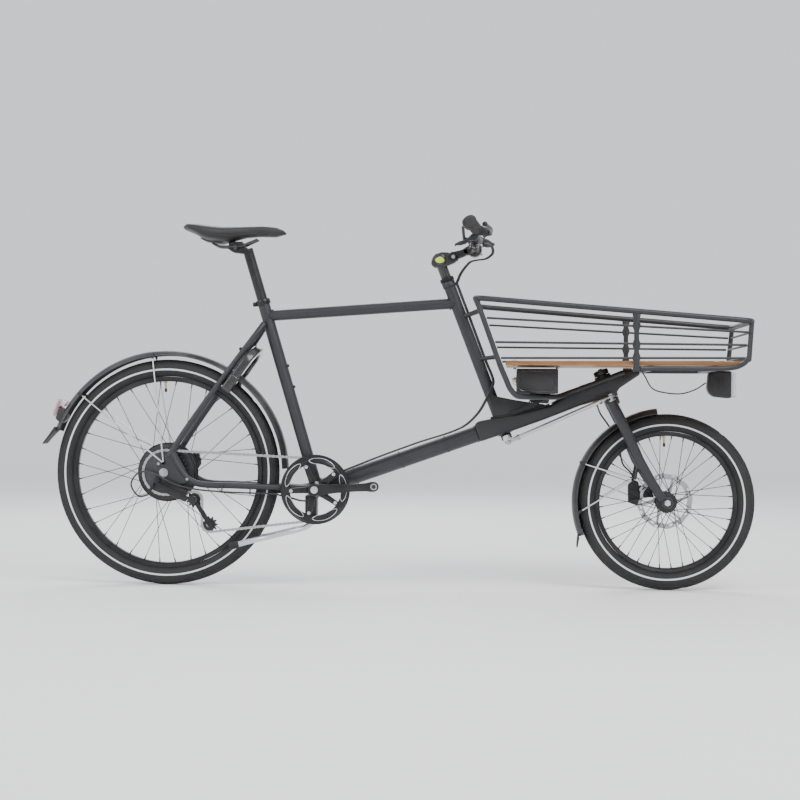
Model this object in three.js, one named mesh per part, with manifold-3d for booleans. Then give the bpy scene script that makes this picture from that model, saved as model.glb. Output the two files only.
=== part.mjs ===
// Long-wheelbase cargo bicycle: a 26 inch rear wheel with hub motor, a 20 inch front wheel,
// an open basket with a wooden deck between handlebar and front wheel, and rod-linked steering.
// Units are millimetres. +X is forward, +Y is the rider's left, +Z is up; the ground is z = 0.
import * as THREE from 'three';
import { mergeVertices } from 'three/addons/utils/BufferGeometryUtils.js';
import Module from 'manifold-3d';

const wasm = await Module();
wasm.setup();

const V = (x, y, z) => new THREE.Vector3(x, y, z);
const RIGHT = -1;
const LEFT = 1;
const GAP = 0.3;
const ORIGIN = V(0, 0, 0);
const ACROSS = V(0, 1, 0);

// ---- Driving dimensions -------------------------------------------------------------------
const REAR_AXLE = V(-669, 0, 330);
const FRONT_AXLE = V(782, 0, 254);
const BOTTOM_BRACKET = V(-229, 0, 284);
const SEAT_DIRECTION = V(-205, 0, 691).normalize();
const SEAT_TUBE_TOP = BOTTOM_BRACKET.clone().addScaledVector(SEAT_DIRECTION, 566);
const STEER_TILT = THREE.MathUtils.degToRad(21);
const STEER_UP = V(-Math.sin(STEER_TILT), 0, Math.cos(STEER_TILT));
const HEAD_FOOT = V(318.4, 0, 449);
const FORK_STEER_FOOT = V(622, 0, 553);

const REAR_TYRE = { bead: 279.5, outer: 330, half: 25.5 };
const FRONT_TYRE = { bead: 203, outer: 254, half: 25.5 };
const WHEEL_SEGMENTS = 32;
const ROUND = 12;
const SPOKES = 12;
const SPOKE_RADIUS = 1.2;
const REAR_RIM_INNER = 266;
const FRONT_RIM_INNER = 191;
const MOTOR_RADIUS = 86;
const FRONT_FLANGE = 29;
const ROTOR_RADIUS = 80;

const MAIN_TUBE = 17.6;
const TOP_TUBE = 16;
const DOWN_TUBE = 24;
const STAY = 9;
const HEAD_TUBE = 17.3;
const HEAD_BORE = 13.6;
const STEERER = 13;
const RISER = 15;
const QUILL = 11;
const SEAT_POST = 15.3;
const SEAT_BORE = 16;
const HEAD_LENGTH = 470;

const CHAIN_PLANE = -45;
const CHAIN_HALF_WIDTH = 3.5;
const CHAIN_HALF_HEIGHT = 4;
const RING_PITCH = 89;
const COG_PITCH = 64.8;
const PULLEY_PITCH = 22.5;
const GUIDE_PULLEY = V(-583, CHAIN_PLANE, 252);
const TENSION_PULLEY = V(-538, CHAIN_PLANE, 180);
const CRANK_LENGTH = 172;
const CRANK_ANGLE = THREE.MathUtils.degToRad(3.4);
const GUARD_RADIUS = 101;

const ARM_REACH = 55;
const BASKET_HALF = 240;
const DECK = { x0: 320, x1: 978, half: 226, bottom: 643, top: 655 };
const BAR_HALF = 325;

// ---- Solid helpers ------------------------------------------------------------------------
/** Turns a closed geometry into a solid that can be joined and cut. */
function solid(geometry) {
  const bare = geometry.clone();
  bare.deleteAttribute('normal');
  bare.deleteAttribute('uv');
  const merged = mergeVertices(bare, 1e-4);
  return new wasm.Manifold(new wasm.Mesh({
    numProp: 3,
    vertProperties: Float32Array.from(merged.attributes.position.array),
    triVerts: Uint32Array.from(merged.index.array),
  }));
}

/** Turns a solid back into a geometry. */
function shaped(body) {
  const mesh = body.getMesh();
  const geometry = new THREE.BufferGeometry();
  geometry.setAttribute('position', new THREE.BufferAttribute(mesh.vertProperties, 3));
  geometry.setIndex(new THREE.BufferAttribute(mesh.triVerts, 1));
  geometry.computeVertexNormals();
  return geometry;
}

/** Joins geometries into one. */
function join(...geometries) {
  return shaped(geometries.map(solid).reduce((whole, next) => whole.add(next)));
}

/** Cuts every tool away from a geometry. */
function cut(geometry, ...tools) {
  return shaped(tools.map(solid).reduce((whole, tool) => whole.subtract(tool), solid(geometry)));
}

/** Keeps what two geometries share. */
function common(first, second) {
  return shaped(solid(first).intersect(solid(second)));
}

/** Turns a geometry's own +Y to a direction and moves its origin to a point. */
function stand(geometry, origin, direction) {
  geometry.applyQuaternion(new THREE.Quaternion().setFromUnitVectors(ACROSS, direction));
  return geometry.translate(origin.x, origin.y, origin.z);
}

/** A straight round bar, or a taper, from one point to another. */
function rod(from, to, radius, sides = 8, endRadius = radius) {
  const span = to.clone().sub(from);
  const geometry = new THREE.CylinderGeometry(endRadius, radius, span.length(), sides);
  geometry.translate(0, span.length() / 2, 0);
  return stand(geometry, from, span.normalize());
}

/** A round bar swept along a smooth curve through points. */
function sweep(points, radius, sides = 8, steps = 4 * points.length) {
  const section = new THREE.Shape();
  for (let i = 0; i < sides; i += 1) {
    const turn = (2 * Math.PI * i) / sides;
    const place = [radius * Math.cos(turn), radius * Math.sin(turn)];
    if (i === 0) section.moveTo(...place);
    else section.lineTo(...place);
  }
  const extrudePath = new THREE.CatmullRomCurve3(points, false, 'centripetal');
  return new THREE.ExtrudeGeometry(section, { steps, extrudePath, bevelEnabled: false });
}

/** A flat plate: an outline in X and Z, extruded from y0 to y1. */
function plate(outline, y0, y1) {
  const shape = new THREE.Shape(outline.map(([x, z]) => new THREE.Vector2(x, z)));
  const geometry = new THREE.ExtrudeGeometry(shape, { depth: y1 - y0, bevelEnabled: false });
  return geometry.rotateX(Math.PI / 2).translate(0, y1, 0);
}

/** A block between two opposite corners. */
function block(x0, x1, y0, y1, z0, z1) {
  const geometry = new THREE.BoxGeometry(x1 - x0, y1 - y0, z1 - z0);
  return geometry.translate((x0 + x1) / 2, (y0 + y1) / 2, (z0 + z1) / 2);
}

/** A turned piece about the Y axis: a closed profile of [radius, y], outer wall rising. */
function turned(profile, segments = WHEEL_SEGMENTS) {
  const points = profile.map(([r, y]) => new THREE.Vector2(r, y));
  return new THREE.LatheGeometry([...points, points[0].clone()], segments);
}

/** A turned washer or sleeve about the Y axis. */
function ring(inner, outer, y0, y1, segments = 16) {
  return turned([[inner, y0], [outer, y0], [outer, y1], [inner, y1]], segments);
}

/** The same points on the other side of the bicycle. */
const mirrored = (points, side) => points.map(([x, y, z]) => V(x, side * y, z));

/** A point on the rear steering axis, measured up from its foot. */
const onHead = (s) => HEAD_FOOT.clone().addScaledVector(STEER_UP, s);

/** A point on the front steering axis, measured up from the head tube's foot. */
const onFork = (s) => FORK_STEER_FOOT.clone().addScaledVector(STEER_UP, s);

/** A point on the seat tube's axis, measured up from the bottom bracket. */
const onSeat = (s) => BOTTOM_BRACKET.clone().addScaledVector(SEAT_DIRECTION, s);

// ---- Finishes -----------------------------------------------------------------------------
const paint = { color: 0x24272c, roughness: 0.55, metalness: 0.2 };
const blackMetal = { color: 0x17181a, roughness: 0.4, metalness: 0.6 };
const silver = { color: 0xc4c6c8, roughness: 0.35, metalness: 0.9 };
const rubber = { color: 0x121212, roughness: 0.85, metalness: 0 };
const plastic = { color: 0x1b1b1d, roughness: 0.6, metalness: 0 };
const wood = { color: 0xa4642c, roughness: 0.6, metalness: 0 };
const leather = { color: 0x1c1a19, roughness: 0.6, metalness: 0 };

const group = new THREE.Group();
/** Adds one named piece to the bicycle. */
function piece(name, geometry, finish, position = ORIGIN) {
  const mesh = new THREE.Mesh(geometry, new THREE.MeshStandardMaterial(finish));
  mesh.name = name;
  mesh.position.copy(position);
  group.add(mesh);
}

// ---- Main frame ---------------------------------------------------------------------------
/** The clamp collar round the seat tube's top. */
function seatCollar() {
  const sleeve = rod(onSeat(560), onSeat(576), 23, ROUND);
  const lug = rod(V(-424, 0, 829), V(-405, 0, 834), 6);
  return join(sleeve, lug);
}

function seatTube() {
  const tube = rod(BOTTOM_BRACKET, SEAT_TUBE_TOP, MAIN_TUBE, ROUND);
  const shell = ring(1, 21, -34, 34).translate(BOTTOM_BRACKET.x, 0, BOTTOM_BRACKET.z);
  const bracket = block(-262, -227, -25, 25, 199.8, 268);
  const bore = rod(onSeat(300), onSeat(600), SEAT_BORE, ROUND);
  const axleBore = rod(V(-229, -50, 284), V(-229, 50, 284), 10.5);
  return cut(join(tube, shell, bracket, seatCollar()), bore, axleBore);
}
piece('seat_tube', seatTube(), paint);

const seatTubeRoom = rod(onSeat(-10), onSeat(600), MAIN_TUBE + GAP, ROUND);
const shellRoom = rod(V(-229, -40, 284), V(-229, 40, 284), 22.5, 16);
const headRoom = rod(onHead(-8), onHead(HEAD_LENGTH + 2), HEAD_TUBE + GAP, ROUND);
const topTube = rod(onSeat(526), onHead(HEAD_LENGTH - 66), TOP_TUBE, 10);
piece('top_tube', cut(topTube, seatTubeRoom, headRoom), paint);
const downTube = rod(BOTTOM_BRACKET, V(236.3, 0, 447.5), DOWN_TUBE, ROUND);
piece('down_tube', cut(downTube, seatTubeRoom, shellRoom), paint);

const headTube = rod(onHead(0), onHead(HEAD_LENGTH), HEAD_TUBE, ROUND);
piece('head_tube', cut(headTube, rod(onHead(-5), onHead(HEAD_LENGTH + 5), HEAD_BORE, ROUND)), paint);

function frontBeam() {
  const beam = plate([
    [245.5, 424], [337, 455], [433, 490], [534, 530], [592, 547], [632, 556], [646, 581],
    [707, 622], [693, 638], [650, 631], [592, 608], [534, 588], [477, 548], [448, 532],
    [361, 508], [274, 491], [237, 483], [229.5, 471.5],
  ], -28, 28);
  const gusset = plate([
    [274, 572], [289, 557], [346, 545], [404, 536], [433, 533], [419, 515], [361, 500], [280, 480],
  ], -20, ROUND);
  const forkTube = rod(onFork(0), onFork(69), 22, ROUND);
  const forkBore = rod(onFork(-20), onFork(80), 15, ROUND);
  return cut(join(beam, gusset, forkTube), forkBore, headRoom);
}
piece('front_beam', frontBeam(), paint);

function rearStays(side) {
  const chainstay = sweep(mirrored([
    [-245, 27, 285], [-290, 29, 287], [-335, 31, 289], [-400, 43, 291], [-480, 55, 294],
    [-560, 63, 297], [-597, 64, 312], [-627, 64, 350], [-648, 63, 388],
  ], side), STAY, 8, 15);
  const seatstay = sweep(mirrored([
    [-654, 63, 378], [-610, 61, 449], [-515, 54, 584], [-440, 46, 686], [-405, 34, 735],
    [-383, 20, 768],
  ], side), STAY, 8, 9);
  const faces = [side * 64, side * 70].sort((a, b) => a - b);
  const dropout = plate([
    [-694, 312], [-676, 295], [-610, 298], [-590, 308], [-636, 392], [-655, 392], [-690, 352],
  ], ...faces);
  const axleRoom = rod(V(-669, -90, 330), V(-669, 90, 330), 6.6);
  return cut(join(chainstay, seatstay, dropout), axleRoom, seatTubeRoom, shellRoom);
}
piece('rear_stays_right', rearStays(RIGHT), paint);
piece('rear_stays_left', rearStays(LEFT), paint);

// ---- Basket, deck and their supports ------------------------------------------------------
function supportTube(side) {
  return sweep(mirrored([
    [308, 240, 633], [320, 240, 606], [333, 238, 577], [350, 230, 559], [372, 212, 555],
    [420, 140, 555], [470, 72, 556], [505, 42, 568], [560, 38, 588], [658, 38, 626],
  ], side), 8, 8, 12);
}
piece('support_tube_right', supportTube(RIGHT), paint);
piece('support_tube_left', supportTube(LEFT), paint);

/** Height of the basket's top rail at a place along the bicycle. */
const railHeight = (x) => 829 - (x - 235) * 0.0827;
function topRail() {
  const half = (side) => sweep([
    [235, -4], [235, 60], [235, 180], [238, 222], [256, 240], [320, 240], [500, 240], [700, 240],
    [900, 240], [970, 240], [992, 222], [999, 180], [999, 60], [999, -4],
  ].map(([x, y]) => V(x, side * y, railHeight(x))), 8, 8, 26);
  return join(half(RIGHT), half(LEFT));
}
piece('basket_top_rail', topRail(), paint);

/** The three side bars: their rear end, front end and height at both. */
const BARS = [
  { rear: 267, front: 986, rearZ: 773, frontZ: 735 },
  { rear: 291, front: 980, rearZ: 706, frontZ: 700 },
  { rear: 307, front: 976, rearZ: 662, frontZ: 664 },
];
const BAR_RADIUS = 3.2;
function basketSide(side) {
  const bars = BARS.map((b) => rod(
    V(b.rear, side * BASKET_HALF, b.rearZ), V(b.front, side * BASKET_HALF, b.frontZ), BAR_RADIUS, 8));
  const post = plate([
    [670, 626], [690, 626], [688, 664], [686, 700], [687, 752], [690, 782.3], [670, 783.6],
    [673, 752], [674, 700], [672, 664],
  ], side * BASKET_HALF - 4, side * BASKET_HALF + 4);
  return join(post, ...bars);
}
piece('basket_side_right', basketSide(RIGHT), paint);
piece('basket_side_left', basketSide(LEFT), paint);

function basketFront() {
  const posts = [RIGHT, LEFT].map((side) => rod(
    V(987, side * BASKET_HALF, 660), V(995, side * (BASKET_HALF - 14), 757.5), 7, 10));
  const bars = BARS.map((b, i) => rod(
    V(b.front + 8 - i, -238, b.frontZ), V(b.front + 8 - i, 238, b.frontZ), BAR_RADIUS, 8));
  const foot = rod(V(987, -238, 663), V(987, 238, 663), 7, 10);
  return join(...posts, ...bars, foot);
}
piece('basket_front', basketFront(), paint);

function basketRear() {
  const posts = [RIGHT, LEFT].map((side) => rod(
    V(301.5, side * BASKET_HALF, 648), V(240.9, side * (BASKET_HALF - 8), 817), 7.5, 10));
  const crossbars = [[244, 808], [262, 757], [282, 703], [297, 661]].map(([x, z]) => rod(
    V(x, -236, z), V(x, 236, z), x === 244 || x === 297 ? 6 : BAR_RADIUS, 8));
  const struts = [RIGHT, LEFT].flatMap((side) => [
    rod(V(193, side * 4, 787), V(246, side * 40, 807), 6, 8),
    rod(V(240, side * 4, 664), V(293, side * 40, 670), 6, 8),
  ]);
  return cut(join(...posts, ...crossbars, ...struts), headRoom);
}
piece('basket_rear', basketRear(), paint);

function deckFrame() {
  const sides = [RIGHT, LEFT].map((side) => sweep(mirrored([
    [697, 234, 634.5], [780, 234, 634.5], [900, 234, 634.8], [948, 234, 638], [969, 234, 646],
  ], side), 7, 8, 8));
  const hoops = [722, 900].map((x) => rod(V(x, -234, 634.5), V(x, 234, 634.5), 7, 10));
  return join(...sides, ...hoops);
}
piece('deck_frame', deckFrame(), paint);
const deckBox = block(DECK.x0, DECK.x1, -DECK.half, DECK.half, DECK.bottom, DECK.top);
piece('cargo_deck', deckBox, wood);

function battery() {
  const pack = block(350, 467, -180, 180, 564, 634);
  const knob = rod(V(352, -150, 599), V(337, -150, 599), 11);
  const mount = plate([[390, 566], [447, 566], [441, 534.5], [404, 537.5], [391, 540.5]], -25, 25);
  return join(pack, knob, mount);
}
piece('battery', battery(), plastic);

function headlight() {
  const body = plate([[897, 580], [912, 558], [965, 554], [979, 562], [979, 624], [965, 632], [908, 632]], -26, 26);
  const bracket = block(915, 945, -12, 12, 620, 642.7);
  return join(body, bracket);
}
piece('headlight', headlight(), plastic);

// ---- Wheels -------------------------------------------------------------------------------
/** A tyre's solid: round tread, straight walls and a flat seat on the rim. */
function tyre({ bead, outer, half }) {
  return turned([
    [bead + GAP, -12], [outer - half, -half], [outer - 8, -17], [outer, -5],
    [outer, 5], [outer - 8, 17], [outer - half, half], [bead + GAP, 12],
  ]);
}

/** A rim with its spokes, which cross in pairs and end just short of the hub. */
function spokedRim(bead, inner, flangeRadius, flangeHalf) {
  const rim = turned([
    [inner, -9], [bead, -12.5], [bead, 12.5], [inner, 9],
  ]);
  const spokes = Array.from({ length: SPOKES }, (_, i) => {
    const turn = (2 * Math.PI * i) / SPOKES;
    const side = i % 2 === 0 ? RIGHT : LEFT;
    const lean = (i % 4 < 2 ? 1 : -1) * 0.42;
    const from = V(Math.cos(turn + lean), 0, Math.sin(turn + lean)).multiplyScalar(flangeRadius);
    const to = V(Math.cos(turn), 0, Math.sin(turn)).multiplyScalar(inner + 3);
    return rod(from.setY(side * flangeHalf), to, SPOKE_RADIUS, 3);
  });
  return join(rim, ...spokes);
}
piece('rear_tyre', tyre(REAR_TYRE), rubber, REAR_AXLE);
piece('rear_rim', spokedRim(REAR_TYRE.bead, REAR_RIM_INNER, MOTOR_RADIUS + 2, 26), blackMetal, REAR_AXLE);
piece('front_tyre', tyre(FRONT_TYRE), rubber, FRONT_AXLE);
piece('front_rim', spokedRim(FRONT_TYRE.bead, FRONT_RIM_INNER, FRONT_FLANGE + 2, 30), blackMetal, FRONT_AXLE);

function hubMotor() {
  return turned([
    [7, -34], [18, -34], [MOTOR_RADIUS - 16, -30], [MOTOR_RADIUS, -22], [MOTOR_RADIUS, 22],
    [MOTOR_RADIUS - 16, 30], [24, 32], [24, 41], [ROTOR_RADIUS, 41], [ROTOR_RADIUS, 43],
    [20, 43], [20, 50], [7, 50],
  ], 24);
}
piece('rear_hub_motor', hubMotor(), blackMetal, REAR_AXLE);

function frontHub() {
  return turned([
    [7, -44], [13, -44], [FRONT_FLANGE, -32], [FRONT_FLANGE, -28], [14, -24],
    [14, 24], [FRONT_FLANGE, 28], [20, 34], [20, 38], [ROTOR_RADIUS, 38],
    [ROTOR_RADIUS, 40], [13, 40], [13, 44], [7, 44],
  ], 20);
}
piece('front_hub', frontHub(), blackMetal, FRONT_AXLE);

/** The stack of sprockets; the chain's pitch radius belongs to the largest. */
function cassette() {
  const cogs = [22, 34, 46, COG_PITCH - 5.4];
  const profile = [[7, -58]];
  cogs.forEach((radius, i) => {
    const y = -58 + i * 4;
    profile.push([radius, y], [radius, y + (i < cogs.length - 1 ? 4 : 3)]);
  });
  profile.push([18, -43], [18, -35], [7, -35]);
  return turned(profile, 20);
}
piece('cassette', cassette(), silver, REAR_AXLE);

function rearAxle() {
  const nuts = [RIGHT, LEFT].map((side) => rod(
    V(-669, side * 70.3, 330), V(-669, side * 80, 330), 11, 6));
  return join(rod(V(-669, -86, 330), V(-669, 86, 330), 6, 12), ...nuts);
}
piece('rear_axle', rearAxle(), silver);

// ---- Fenders and lights -------------------------------------------------------------------
/** Part of a fender: a curved channel about an axle, between two angles in degrees. */
function fenderArc(axle, crown, from, to) {
  const lip = crown - 15;
  const channel = turned([
    [lip, -30], [crown, -14], [crown, 14], [lip, 30], [lip - 2, 28.5], [crown - 2, 12.5],
    [crown - 2, -12.5], [lip - 2, -28.5],
  ], 32);
  const wedge = [[0, 0]];
  for (let i = 0; i <= 6; i += 1) {
    const turn = THREE.MathUtils.degToRad(from + ((to - from) * i) / 6);
    wedge.push([2 * crown * Math.cos(turn), 2 * crown * Math.sin(turn)]);
  }
  return common(channel, plate(wedge, -40, 40)).translate(axle.x, 0, axle.z);
}

function rearFender() {
  const channel = fenderArc(REAR_AXLE, 357, 2, 160);
  const flap = plate([[-1002, 464], [-996, 452], [-1036, 409.5], [-1038.5, 412]], -27, 27);
  const stays = [RIGHT, LEFT].flatMap((side) => [
    rod(V(-669, side * 75.5, 358), V(-713, side * 28.5, 672), 2.4, 6),
    rod(V(-669, side * 75.5, 358), V(-927, side * 28.5, 558), 2.4, 6),
  ]);
  const light = plate([[-1011, 496], [-993, 543], [-963, 534], [-969, 470], [-990, 470]], -24, 24);
  const wheelRoom = ring(0.5, 356, -60, 60, 32).translate(REAR_AXLE.x, 0, REAR_AXLE.z);
  return join(channel, flap, ...stays, cut(light, wheelRoom));
}
piece('rear_fender', rearFender(), plastic);

function frontFender() {
  const channel = fenderArc(FRONT_AXLE, 271, 96, 202);
  const flap = plate([[529, 158], [538, 150], [530, 121], [525, 122]], -25, 25);
  const stays = [RIGHT, LEFT].flatMap((side) => [
    rod(V(683, side * 50, 321), V(537, side * 28.5, 366), 2.4, 6),
    rod(V(683, side * 50, 319), V(530, side * 28.5, 222), 2.4, 6),
  ]);
  return join(channel, flap, ...stays);
}
piece('front_fender', frontFender(), plastic);

// ---- Drivetrain ---------------------------------------------------------------------------
/** The closed belt line round directed circles; a negative radius is passed on the other side. */
function beltLine(circles, offset) {
  const rounds = circles.map(({ x, z, r }) => ({ x, z, r: r + offset }));
  const count = rounds.length;
  const heading = rounds.map((from, i) => {
    const to = rounds[(i + 1) % count];
    const span = Math.hypot(to.x - from.x, to.z - from.z);
    return Math.atan2(to.z - from.z, to.x - from.x) + Math.asin((from.r - to.r) / span);
  });
  const line = [];
  rounds.forEach(({ x, z, r }, i) => {
    const start = heading[(i + count - 1) % count] - Math.PI / 2;
    const full = 2 * Math.PI;
    let sweepAngle = (heading[i] - Math.PI / 2 - start) % full;
    if (r > 0 && sweepAngle < 0) sweepAngle += full;
    if (r < 0 && sweepAngle > 0) sweepAngle -= full;
    const steps = Math.max(3, Math.ceil(Math.abs(sweepAngle) / 0.26));
    for (let k = 0; k <= steps; k += 1) {
      const turn = start + (sweepAngle * k) / steps;
      line.push([x + r * Math.cos(turn), z + r * Math.sin(turn)]);
    }
  });
  return line;
}

function chain() {
  const circles = [
    { x: BOTTOM_BRACKET.x, z: BOTTOM_BRACKET.z, r: RING_PITCH },
    { x: REAR_AXLE.x, z: REAR_AXLE.z, r: COG_PITCH },
    { x: GUIDE_PULLEY.x, z: GUIDE_PULLEY.z, r: -PULLEY_PITCH },
    { x: TENSION_PULLEY.x, z: TENSION_PULLEY.z, r: PULLEY_PITCH },
  ];
  const faces = [CHAIN_PLANE - CHAIN_HALF_WIDTH, CHAIN_PLANE + CHAIN_HALF_WIDTH];
  const outside = plate(beltLine(circles, CHAIN_HALF_HEIGHT), ...faces);
  const inside = plate(beltLine(circles, -CHAIN_HALF_HEIGHT), faces[0] - 1, faces[1] + 1);
  return cut(outside, inside);
}
piece('chain', chain(), silver);

/** One plate of the derailleur's cage, round both pulleys. */
function cagePlate(y0, y1) {
  const [a, b] = [GUIDE_PULLEY, TENSION_PULLEY];
  const eye = (p) => ring(3.6, 12, y0, y1, 10).translate(p.x, 0, p.z);
  const bar = plate([
    [a.x - 9, a.z - 4], [b.x - 9, b.z - 4], [b.x + 9, b.z + 4], [a.x + 9, a.z + 4],
  ], y0, y1);
  const holes = [a, b].map((p) => rod(V(p.x, y0 - 1, p.z), V(p.x, y1 + 1, p.z), 3.6, 8));
  return cut(join(eye(a), eye(b), bar), ...holes);
}

function derailleur() {
  const bolts = [GUIDE_PULLEY, TENSION_PULLEY].map((p) => rod(
    V(p.x, -54, p.z), V(p.x, -37, p.z), 3.7, 8));
  const cage = [cagePlate(-53, -50.5), cagePlate(-39.5, -37)];
  const body = plate([
    [-694, 318], [-676, 318], [-640, 296], [-600, 286], [-572, 262], [-572, 244], [-594, 242],
    [-612, 262], [-650, 268], [-690, 280],
  ], -76, -70.5);
  const knuckle = rod(V(-583, -75, 252), V(-583, -50.5, 252), 11, 10);
  const barrel = rod(V(-694, -73, 306), V(-706, -73, 282), 5, 10);
  return join(body, knuckle, barrel, ...cage, ...bolts);
}
piece('derailleur', derailleur(), blackMetal);

/** A jockey wheel in the chain plane. */
function pulley(centre) {
  return ring(4.2, PULLEY_PITCH - 4.6, -47, -43, 10).translate(centre.x, 0, centre.z);
}
piece('guide_pulley', pulley(GUIDE_PULLEY), plastic);
piece('tension_pulley', pulley(TENSION_PULLEY), plastic);

piece('chainring', turned([
  [64, -54], [GUARD_RADIUS, -54], [GUARD_RADIUS, -51], [76, -51], [76, -47],
  [RING_PITCH - 5.4, -47], [RING_PITCH - 5.4, -43], [64, -43],
], 30).translate(BOTTOM_BRACKET.x, 0, BOTTOM_BRACKET.z), blackMetal);

/** A crank arm from the bottom bracket to its threaded pedal eye, between two planes. */
function crankArm(turn, y0, y1) {
  const eye = V(Math.cos(turn), 0, Math.sin(turn)).multiplyScalar(CRANK_LENGTH).add(BOTTOM_BRACKET);
  const outline = [[0, -17], [40, -15], [120, -12], [160, -14], [180, -12], [187, 0], [180, 12],
    [160, 14], [120, 12], [40, 15], [0, 17]];
  const arm = plate(outline, y0, y1);
  arm.rotateY(-turn).translate(BOTTOM_BRACKET.x, 0, BOTTOM_BRACKET.z);
  return cut(arm, rod(V(eye.x, y0 - 2, eye.z), V(eye.x, y1 + 2, eye.z), 6.4, 12));
}

function crankRight() {
  const arm = crankArm(CRANK_ANGLE, -80, -66);
  const boss = ring(1, 20, -80, -54.5).translate(BOTTOM_BRACKET.x, 0, BOTTOM_BRACKET.z);
  const spindle = rod(V(-229, -80, 284), V(-229, 63, 284), 9, 10);
  const spider = Array.from({ length: 5 }, (_, i) => {
    const leg = plate([[0, -10], [80, -6], [80, 6], [0, 10]], -59, -54.4);
    leg.rotateY((-2 * Math.PI * (i + 0.55)) / 5);
    return leg.translate(BOTTOM_BRACKET.x, 0, BOTTOM_BRACKET.z);
  });
  return join(arm, boss, spindle, ...spider);
}
piece('crank_right', crankRight(), blackMetal);

function crankLeft() {
  const boss = ring(1, 18, 64, 80).translate(BOTTOM_BRACKET.x, 0, BOTTOM_BRACKET.z);
  return join(crankArm(CRANK_ANGLE + Math.PI, 66, 80), boss, rod(V(-229, 64, 284), V(-229, 80, 284), 12));
}
piece('crank_left', crankLeft(), blackMetal);

function kickstand() {
  const pivot = rod(V(-240, -36, 190), V(-240, 36, 190), 9, 10);
  const legs = [RIGHT, LEFT].map((side) => sweep(mirrored([
    [-240, 33, 188], [-262, 36, 172], [-308, 49, 160], [-362, 53, 146], [-400, 64, 138],
    [-458, 79, 123],
  ], side), 8, 8, 9));
  const feet = [RIGHT, LEFT].map((side) => rod(
    V(-448, side * 77, 125.5), V(-474, side * 82.5, 119), 10.5, 12));
  return join(pivot, ...legs, ...feet);
}
piece('kickstand', kickstand(), silver);

// ---- Ring lock ----------------------------------------------------------------------------
/** A horseshoe lock that straddles the tyre in front of the seat stays. */
function ringLock() {
  const bow = (radius, from, to) => Array.from({ length: 9 }, (_, i) => {
    const turn = from + ((to - from) * i) / 8;
    return new THREE.Vector2(radius * Math.cos(turn), 20 + radius * Math.sin(turn));
  });
  const arch = new THREE.Shape([
    new THREE.Vector2(72, -70), ...bow(72, 0, Math.PI), new THREE.Vector2(-72, -70),
    new THREE.Vector2(-46, -70), ...bow(46, Math.PI, 0), new THREE.Vector2(46, -70),
  ]);
  const body = new THREE.ExtrudeGeometry(arch, { depth: 24, bevelEnabled: false });
  body.translate(0, 0, -12);
  const up = V(-515, 0, 584).sub(V(-383, 0, 768)).negate().normalize();
  const normal = ACROSS.clone().cross(up).normalize();
  const frame = new THREE.Matrix4().makeBasis(ACROSS, up, normal);
  body.applyMatrix4(frame);
  return body.translate(-450, 0, 627);
}
piece('ring_lock', ringLock(), plastic);

// ---- Steering -----------------------------------------------------------------------------
function steerer() {
  const core = rod(onHead(-18), onHead(HEAD_LENGTH + 12), STEERER, ROUND);
  const collar = rod(onHead(HEAD_LENGTH + 1), onHead(HEAD_LENGTH + 12), 21, 10);
  const head = onHead(-12);
  const arm = rod(head, V(head.x, -ARM_REACH, head.z), 8, 12);
  const eye = rod(onHead(-18), onHead(-3), 11, 10).translate(0, -ARM_REACH, 0);
  const pin = rod(onHead(-30), onHead(-4), 4, 12).translate(0, -ARM_REACH, 0);
  const knuckle = rod(onHead(-18), onHead(-3), 16, 10);
  const bore = rod(onHead(HEAD_LENGTH - 230), onHead(HEAD_LENGTH + 20), QUILL + 0.5, ROUND);
  const rodRoom = rod(onHead(-34), onHead(-15), 14, 10).translate(0, -ARM_REACH, 0);
  return join(cut(join(core, collar, knuckle, arm, eye), bore, rodRoom), pin);
}
piece('steerer', steerer(), blackMetal);

/** The front disc brake's caliper, on the left leg. */
function frontCaliper() {
  const body = plate([[676, 246], [704, 240], [712, 268], [706, 312], [686, 319], [674, 300]], 30, 37.4);
  const outer = plate([[676, 246], [704, 240], [712, 268], [706, 312], [686, 319], [674, 300]], 40.8, 46);
  const bridge = plate([[674, 250], [690, 247], [694, 316], [686, 319], [674, 300]], 30, 46);
  const rotorRoom = ring(0.5, ROTOR_RADIUS + 3, 36, 42, 24).translate(FRONT_AXLE.x, 0, FRONT_AXLE.z);
  const mount = plate([[696, 262], [752, 262], [744, 300], [700, 300]], 43.5, 50);
  return cut(join(body, outer, bridge, mount), rotorRoom);
}

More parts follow.
